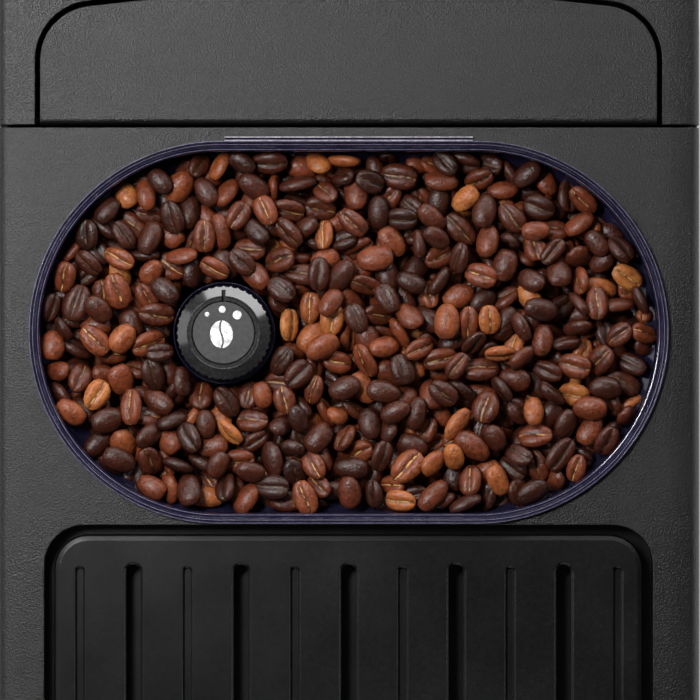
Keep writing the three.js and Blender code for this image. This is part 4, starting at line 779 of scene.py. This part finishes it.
def toothed_knob():
    bm = bmesh.new()
    count = knob_teeth * 4
    turned(bm, scaled(knob_section), (knob_place.x, knob_place.y, knob_foot), count)
    for vert in bm.verts:
        out = Vector((vert.co.x - knob_place.x, vert.co.y - knob_place.y))
        if out.length > 15.5 * mm and vert.co.z < knob_foot + 10.8 * mm:
            place = round(math.atan2(out.y, out.x) / math.tau * count) % 4
            if place == 0:
                on_slope = vert.co.z > knob_foot + 10.4 * mm
                drop = tooth_reach * tooth_slope * mm if on_slope else 0.0
                vert.co += Vector((*(out.normalized() * tooth_reach * mm), -drop))
    for offset in (-notch_half, -notch_half + notch_side, notch_half - notch_side, notch_half):
        near = [face for face in bm.faces if face.calc_center_median().y > knob_place.y + 10.0 * mm]
        parts = each(part for face in near for part in (face, *face.edges, *face.verts))
        sliced(bm, (knob_place.x + offset, 0, 0), (1, 0, 0), parts, same_place / 10)
    for vert in bm.verts:
        across = vert.co.x - knob_place.x
        out = math.hypot(across, vert.co.y - knob_place.y)
        cut = abs(across) < notch_half - notch_side / 2 and vert.co.y > knob_place.y
        if cut and notch_start < out < notch_end and vert.co.z > knob_foot + 11.2 * mm:
            vert.co.z = knob_foot + notch_floor
    shown(bm, "toothed_knob", "grind_setting", "knob_black", ["grind_knob"])


cap_section = [(0.0, 250.0), (3.0, 250.0), (3.0, 321.6), (10.7, 321.6), (10.8, 321.7), (10.8, 323.82),
               (10.62, 324.0), (0.0, 324.0)]


print_height = 0.05 * mm


def raised(bm, verts):
    """A flat print given its small thickness."""
    faces = each(face for vert in verts for face in vert.link_faces)
    tops = verts_of(bmesh.ops.extrude_face_region(bm, geom=faces)["geom"])
    bmesh.ops.translate(bm, verts=tops, vec=(0, 0, print_height))


def disc(bm, x, y, radius, segments=40):
    verts = bmesh.ops.create_circle(bm, cap_ends=True, segments=segments, radius=radius * mm)["verts"]
    bmesh.ops.translate(bm, verts=verts, vec=(x * mm, y * mm, 0))
    raised(bm, verts)


def stroke(bm, path, width):
    """A flat band of even width along a path."""
    count = len(path)
    verts = bmesh.ops.create_grid(bm, x_segments=1, y_segments=count - 1, size=1.0)["verts"]
    for vert in verts:
        row = round((vert.co.y + 1) / 2 * (count - 1))
        along = Vector(path[min(row + 1, count - 1)]) - Vector(path[max(row - 1, 0)])
        across = Vector((-along.y, along.x)).normalized() * width / 2 * math.copysign(1.0, vert.co.x)
        vert.co = (*((Vector(path[row]) + across) * mm), 0)
    raised(bm, verts)


def arc(x, y, radius, start, end, steps=16):
    """Points round a centre, the angles in degrees from the right."""
    turns = [math.radians(start + (end - start) * step / steps) for step in range(steps + 1)]
    return [(x + radius * math.cos(turn), y + radius * math.sin(turn)) for turn in turns]


def bean_sign(bm, x, y, across, along, gap=0.27, sway=0.55):
    """A bean seen on its face: an oval in two halves with a swayed gap between them."""
    tip = math.acos(gap * 1.16 / across)
    for side in (-1, 1):
        verts = bmesh.ops.create_grid(bm, x_segments=6, y_segments=32, size=1.0)["verts"]
        for vert in verts:
            rise = math.sin(vert.co.y * tip)
            inner = side * gap - sway * math.sin(math.pi * rise)
            outer = side * across * math.cos(vert.co.y * tip)
            share = (vert.co.x + 1) / 2
            vert.co = ((x + inner + (outer - inner) * share) * mm, (y + along * rise) * mm, 0)
        raised(bm, verts)


def cup_sign(bm, x, y, size, width=0.45):
    """A cup with a handle, and steam over it."""
    def placed(points):
        return [(x + across * size, y + up * size) for across, up in points]
    stroke(bm, placed([(-1.0, 0.55), (-0.92, -0.3), *arc(-0.5, -0.35, 0.42, 180, 270, 6),
                       *arc(0.5, -0.35, 0.42, 270, 360, 6), (0.92, -0.3), (1.0, 0.55)]), width)
    stroke(bm, placed([(-1.05, 0.5), (1.05, 0.5)]), width)
    stroke(bm, placed(arc(0.98, 0.02, 0.36, 80, -95, 10)), width)
    for side in (-0.4, 0.4):
        stroke(bm, placed([(side + 0.1 * math.sin(rise * 5.5), 0.85 + rise * 0.6)
                           for rise in (0.0, 0.2, 0.4, 0.6, 0.8, 1.0)]), width)


def printed(draw, name, body, place, facing="front", finish_name="print_white"):
    """What draw draws flat, laid on a face of the machine."""
    bm = bmesh.new()
    draw(bm)
    bmesh.ops.rotate(bm, verts=bm.verts, cent=(0, 0, 0), matrix=facings[facing])
    bmesh.ops.translate(bm, verts=bm.verts, vec=Vector(place) * mm)
    shown(bm, name, body, finish_name)


def grind_signs(bm):
    """Grind sizes from fine to coarse over a bean."""
    for x, y, radius in ((-5.75, 6.5, 0.8), (-0.45, 8.2, 1.2), (4.8, 6.25, 1.55)):
        disc(bm, x, y, radius)
    bean_sign(bm, -0.7, -0.5, 4.0, 4.84)


toothed_knob()
lathed("smooth_cap", "machine", "knob_cap", cap_section, knob_place, ["knob_cap"], 96)
printed(grind_signs, "cap_signs", "machine", (-43.75, 45.0, 324.0), "up")


# Covers on top, eased and crowned

def copy_of(node_name):
    """The node's own shape, its loose triangles joined and its flat faces made whole."""
    bm = bmesh.new()
    bm.from_mesh(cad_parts[node_name].data)
    bmesh.ops.remove_doubles(bm, verts=bm.verts, dist=same_place)
    bmesh.ops.dissolve_limit(bm, angle_limit=math.radians(0.5), verts=bm.verts, edges=bm.edges,
                             use_dissolve_boundaries=False)
    return bm


def reshaped(bm, name, body, finish_name, node_name):
    """A changed copy shown in its node's stead, its large faces keeping their own shading."""
    piece = shown(bm, name, body, finish_name, [node_name])
    weigh = piece.modifiers.new("large faces first", "WEIGHTED_NORMAL")
    weigh.keep_sharp = True


def outline_at(bm, level, axis="Z", least=30.0, shortest=0.0):
    """The sharper edges round what lies flat at a level along an axis."""
    index = "XYZ".index(axis)
    return [edge for edge in bm.edges
            if len(edge.link_faces) == 2 and edge.calc_face_angle(0.0) > math.radians(least)
            and edge.calc_length() > shortest
            and all(abs(vert.co[index] - level) < same_level for vert in edge.verts)]


cover_top = 323.0 * mm
crown_start = 110.0 * mm
crown_end = 119.0 * mm
crown_drop = 0.5 * mm
crown_steps = 4


def crowned_cover(node_name):
    """A top cover that falls away a little towards the sides."""
    bm = copy_of(node_name)
    bevelled(bm, outline_at(bm, cover_top), 0.3 * mm, 2)
    for step in range(crown_steps + 1):
        reach = crown_start + (crown_end - crown_start) * step / crown_steps
        for side in (-1, 1):
            sliced(bm, (side * reach, 0, 0), (1, 0, 0))
    for vert in bm.verts:
        share = min(1.0, (abs(vert.co.x) - crown_start) / (crown_end - crown_start))
        if share > 0 and vert.co.z > 316.0 * mm:
            vert.co.z -= crown_drop * share ** 2
    reshaped(bm, node_name + "_crowned", "machine", "casing_grey", node_name)


def eased_lid():
    """The tank lid with a soft slope round its sides and rear."""
    bm = copy_of("tank_lid")
    front = min(vert.co.y for vert in bm.verts)
    edges = [edge for edge in outline_at(bm, cover_top)
             if any(vert.co.y > front + 0.5 * mm for vert in edge.verts)]
    bevelled(bm, edges, 0.8 * mm, 4)
    reshaped(bm, "tank_lid_eased", "lid", "casing_grey", "tank_lid")


for cover in ("top_cover", "rear_top_cover_left", "rear_top_cover_right"):
    crowned_cover(cover)
eased_lid()


# Front, sides, rear and feet

button_section = [(0.0, 164.4), (2.0, 164.4), (2.0, 171.5), (6.8, 171.5), (7.0, 171.7), (7.0, 175.4),
                  (6.85, 175.8), (6.5, 175.98), (6.1, 175.98), (5.7, 175.8), (5.3, 175.6), (0.0, 175.6)]
ring_section = [(7.55, 174.45), (7.55, 174.85), (7.7, 175.0), (8.3, 175.0), (8.5, 174.85), (8.5, 174.45),
                (7.55, 174.45)]
dial_section = [(0.0, 160.9), (3.0, 160.9), (3.0, 174.9), (14.0, 174.9), (14.3, 175.1), (14.3, 176.2),
                (14.75, 176.5), (14.75, 181.4), (14.4, 182.1), (13.8, 182.5), (13.2, 182.5),
                (13.0, 182.2), (12.6, 182.2), (12.4, 182.4), (0.0, 182.2)]
dial_x, dial_z = 66.0, 262.0
keys = {"power": -64.0, "one_cup": -34.0, "two_cup": -4.0}
key_z = 228.0
panel_y = -174.5
button_face, dial_face = -175.62, -182.32
display_middle = (-34.0, panel_y, 261.8)
dial_ridges = 60


def power_sign(bm):
    stroke(bm, arc(0, -0.2, 2.5, 125, 415, 28), 0.5)
    stroke(bm, [(0, 0.6), (0, 3.1)], 0.5)


def one_cup_sign(bm):
    cup_sign(bm, -0.3, -0.7, 2.4)


def two_cup_sign(bm):
    cup_sign(bm, -2.1, -0.6, 1.5, 0.4)
    cup_sign(bm, 1.9, -0.6, 1.5, 0.4)


def dial_marks(bm):
    """Short strokes round the dial, growing clockwise."""
    for step in range(9):
        turn = math.radians(240 - step * 37.5)
        long = 1.2 + step * 0.12
        stroke(bm, [(reach * math.cos(turn), reach * math.sin(turn)) for reach in (17.4, 17.4 + long)],
               0.55)


def dial_line(bm):
    stroke(bm, [(0, 7.2), (0, 11.9)], 0.9)


def display_signs(bm):
    """A cup, three beans for strength and a row of level bars."""
    cup_sign(bm, -20.0, -1.2, 5.2, 0.6)
    for step in range(3):
        bean_sign(bm, -2.0 + step * 8.6, 3.4, 2.1, 2.9, 0.22, 0.3)
    for step in range(7):
        stroke(bm, [(-3.6 + step * 3.4, -6.6), (-3.6 + step * 3.4, -6.6 + 1.4 + step * 0.5)], 1.6)


def display_frame(bm):
    half_x, half_z, corner = 32.4, 13.4, 1.6
    path = []
    for side_x, side_z, start in ((1, 1, 0), (-1, 1, 90), (-1, -1, 180), (1, -1, 270)):
        path += arc(side_x * (half_x - corner), side_z * (half_z - corner), corner, start, start + 90, 6)
    stroke(bm, path + path[:2], 0.5)


def controls():
    signs = {"power": power_sign, "one_cup": one_cup_sign, "two_cup": two_cup_sign}
    rings = bmesh.new()
    for key, x in keys.items():
        place = (x * mm, 0, key_z * mm)
        lathed(key + "_cap", key + "_key", "panel_gloss", button_section, place, [key + "_button"], 64,
               "front")
        printed(signs[key], key + "_sign", key + "_key", (x, button_face, key_z))
        turned(rings, scaled(ring_section), place, 64, "front")
    shown(rings, "button_rings", "machine", "steel")
    bm = bmesh.new()
    count = dial_ridges * 4
    turned(bm, scaled(dial_section), (dial_x * mm, 0, dial_z * mm), count, "front")
    for vert in bm.verts:
        out = Vector((vert.co.x - dial_x * mm, vert.co.z - dial_z * mm))
        if out.length > 14.7 * mm and round(math.atan2(out.y, out.x) / math.tau * count) % 4 == 0:
            vert.co += Vector((out.x, 0, out.y)).normalized() * 0.25 * mm
    shown(bm, "ridged_dial", "mode_dial", "steel", ["mode_knob"])
    printed(dial_line, "dial_line", "mode_dial", (dial_x, dial_face, dial_z), finish_name="trim_black")
    printed(dial_marks, "dial_marks", "machine", (dial_x, panel_y, dial_z))
    printed(display_signs, "display_signs", "machine", display_middle, finish_name="lit_sign")
    printed(display_frame, "display_frame", "machine", display_middle, finish_name="steel")


def eased_copy(node_name, axis, level, width, segments=3):
    """A copy of the node with the outline of one of its faces softened."""
    bm = copy_of(node_name)
    bevelled(bm, outline_at(bm, level * mm, axis, 60.0, 9.0 * mm), width * mm, segments)
    return bm


# What each panel is part of, its finish, its outer face and how much that face's outline is softened
panels = {
    "left_side_panel": ("machine", "casing_grey", "X", -123.0, 0.7),
    "right_side_panel": ("machine", "casing_grey", "X", 123.0, 0.7),
    "control_panel": ("machine", "panel_gloss", "Y", panel_y, 0.8),
    "drip_tray": ("drip_drawer", "tray_black", "Y", -182.5, 1.4),
    "grounds_drawer": ("grounds", "casing_grey", "Y", -76.7, 0.8),
}


def body_panels():
    for node_name, (body, finish_name, axis, level, width) in panels.items():
        bm = eased_copy(node_name, axis, level, width)
        reshaped(bm, node_name + "_eased", body, finish_name, node_name)


rear_face = 182.5
vent_rows, vent_pitch, vent_tall, vent_low, vent_half, vent_depth = 11, 8.0, 3.4, 196.0, 62.0, 1.6


def vented_back():
    """The rear panel with a field of louvres pressed into it."""
    bm = eased_copy("rear_panel", "Y", rear_face, 0.6, 2)
    for row in range(vent_rows):
        for part in (0.0, vent_tall):
            sliced(bm, Vector((0, 0, vent_low + row * vent_pitch + part)) * mm, (0, 0, 1))
    for side in (-1, 1):
        sliced(bm, Vector((side * vent_half, 0, 0)) * mm, (1, 0, 0))
    slots = []
    for face in bm.faces:
        middle = face.calc_center_median() / mm
        up = middle.z - vent_low
        in_field = abs(middle.x) < vent_half and 0 < up < vent_rows * vent_pitch
        if middle.y > rear_face - 0.1 and in_field and up % vent_pitch < vent_tall:
            slots.append(face)
    floors = verts_of(bmesh.ops.extrude_face_region(bm, geom=slots)["geom"])
    bmesh.ops.translate(bm, verts=floors, vec=(0, -vent_depth * mm, 0))
    reshaped(bm, "vented_back", "machine", "casing_grey", "rear_panel")


def inlet_pins():
    bm = bmesh.new()
    for x, z in ((-99.0, 34.6), (-92.0, 38.2), (-85.0, 34.6)):
        block(bm, (2.0, 9.0, 4.2), (x, 175.2, z), 0.5)
    shown(bm, "inlet_pins", "machine", "steel")


wand_x, wand_y, ball_z, ball_radius = 95.0, -122.5, 187.2, 7.6
grip_section = [(3.6, 127.0), (5.0, 127.0), (5.5, 127.5), (5.5, 129.0), (5.1, 129.6), (5.1, 131.0),
                (5.5, 131.6), (5.5, 133.0), (5.1, 133.6), (5.1, 135.0), (5.5, 135.6), (5.5, 153.4),
                (5.2, 155.2), (4.4, 156.4), (3.6, 156.6), (3.6, 127.0)]
tip_section = [(1.0, 92.2), (2.2, 92.2), (4.4, 93.2), (5.3, 94.6), (5.5, 96.0), (5.5, 106.2),
               (5.1, 107.5), (4.3, 108.2), (3.6, 108.2), (3.6, 95.1), (1.0, 95.1), (1.0, 92.2)]


def wand():
    place = (wand_x * mm, wand_y * mm, 0)
    ball = arc(0.0, ball_z, ball_radius, -62.5, 90.0, 18)
    ball[-1] = (0.0, ball_z + ball_radius)
    pipe_section = [(0.0, 95.2), (3.3, 95.2), (3.5, 95.5), (3.5, 180.2), *ball]
    lathed("wand_pipe", "steam_pipe", "steel", pipe_section, place, ["steam_wand"])
    lathed("wand_grip", "steam_pipe", "rubber", grip_section, place)
    lathed("wand_nozzle", "steam_pipe", "rubber", tip_section, place, ["wand_tip"])


foot_section = [(0.0, 0.7), (6.2, 0.7), (6.8, 0.0), (9.0, 0.0), (9.8, 0.4), (10.0, 1.2), (10.0, 4.8),
                (9.6, 5.8), (0.0, 5.8)]


def soft_feet():
    bm = bmesh.new()
    for x in (-99.0, 99.0):
        for y in (-150.5, 158.5):
            turned(bm, scaled(foot_section), (x * mm, y * mm, 0), 48)
    shown(bm, "soft_feet", "machine", "rubber", feet)


def well_ribs():
    """Small raised marks on the floor under the tray's middle slot."""
    bm = bmesh.new()
    for y in (-55.2, -56.0, -60.7, -78.2):
        block(bm, (2.2, 0.45, 0.5), (-0.5, y, 313.0), 0.12)
    shown(bm, "well_ribs", "machine", "knob_cap")


controls()
body_panels()
vented_back()
inlet_pins()
wand()
reshaped(eased_copy("coffee_outlet", "Z", 172.0, 1.2), "outlet_eased", "outlet", "panel_gloss",
         "coffee_outlet")
soft_feet()
well_ribs()


# Floor, lights and camera

def floor():
    """A pale floor that looks lighter the farther it is, seen straight or in what shines."""
    bm = bmesh.new()
    bmesh.ops.create_grid(bm, x_segments=1, y_segments=1, size=6.0)
    ground = linked("floor", mesh_of(bm, "floor"))
    material, tree, shader = surface("pale floor", Roughness=0.7)
    place = object_place(tree)
    shade = blended(tree, noise(tree, place, 300.0, 3.0), grey(0.66), grey(0.72))
    fill(tree, shader, {"Base Color": shade})
    away = put(tree, "VectorMath", {0: place}, operation="LENGTH").outputs["Value"]
    path = put(tree, "LightPath")
    seen = maths(tree, "MAXIMUM", path.outputs["Is Camera Ray"], path.outputs["Is Glossy Ray"])
    glow = times(tree, seen, spread(tree, away, 0.3, 2.2, 0.10, 0.75))
    pale = put(tree, "Emission", {"Color": grey(0.95), "Strength": glow})
    both = put(tree, "AddShader", {0: shader.outputs[0], 1: pale.outputs[0]})
    fill(tree, tree.nodes["Material Output"], {"Surface": both.outputs[0]})
    ground.data.materials.append(material)


def lamp(name, place, aim, size, power, colour=(1, 1, 1)):
    light = bpy.data.lights.new(name, "AREA")
    light.shape = "RECTANGLE"
    light.size, light.size_y = size
    light.energy = power
    light.color = colour
    holder = linked(name, light)
    holder.location = place
    holder.rotation_euler = (Vector(aim) - Vector(place)).to_track_quat("-Z", "Y").to_euler()


def room():
    """A dim room, pale where it is seen straight or through clear plastic."""
    world = bpy.data.worlds.new("room")
    world.use_nodes = True
    tree = world.node_tree
    tree.nodes.clear()
    path = put(tree, "LightPath")
    seen = maths(tree, "MAXIMUM", path.outputs["Is Camera Ray"], path.outputs["Is Transmission Ray"])
    plain = put(tree, "Background", {"Color": (0.92, 0.95, 1.0, 1.0), "Strength": 0.03})
    pale = put(tree, "Background", {"Color": grey(0.9), "Strength": 1.0})
    mixed = put(tree, "MixShader", {0: seen, 1: plain.outputs[0], 2: pale.outputs[0]})
    put(tree, "OutputWorld", {"Surface": mixed.outputs[0]})
    bpy.context.scene.world = world


top_level = 323 * mm


def camera():
    """Straight above; at the level of the top covers the picture is as wide as the photograph shows."""
    lens = bpy.data.cameras.new("camera")
    lens.type = "PERSP"
    lens.sensor_width = 36.0
    reach = 1.5
    picture_width = 245 * mm
    lens.lens = lens.sensor_width * reach / picture_width
    lens.clip_end = 20.0
    holder = linked("camera", lens)
    holder.location = (0.5 * mm, 39 * mm, top_level + reach)
    bpy.context.scene.camera = holder


floor()
front_face = (0.0, 0.0, 0.16)
lamp("window_light", (-0.28, 0.22, 0.90), aim=(-0.02, 0.05, 0.3), size=(0.28, 0.13), power=4.6)
lamp("back_light", (0.33, 1.15, 0.82), aim=(0.0, 0.05, 0.3), size=(2.3, 0.42), power=19.0)
lamp("left_light", (-1.25, 0.2, 0.80), aim=(0.0, 0.0, 0.3), size=(1.0, 0.6), power=3.0)
lamp("right_light", (1.5, -0.2, 0.3), aim=front_face, size=(1.2, 0.5), power=5.0,
     colour=(1.0, 0.98, 0.95))
lamp("front_light", (-0.3, -1.7, 0.34), aim=front_face, size=(1.8, 0.6), power=6.5,
     colour=(1.0, 0.98, 0.96))
room()
camera()
bpy.context.scene.view_settings.view_transform = "Standard"
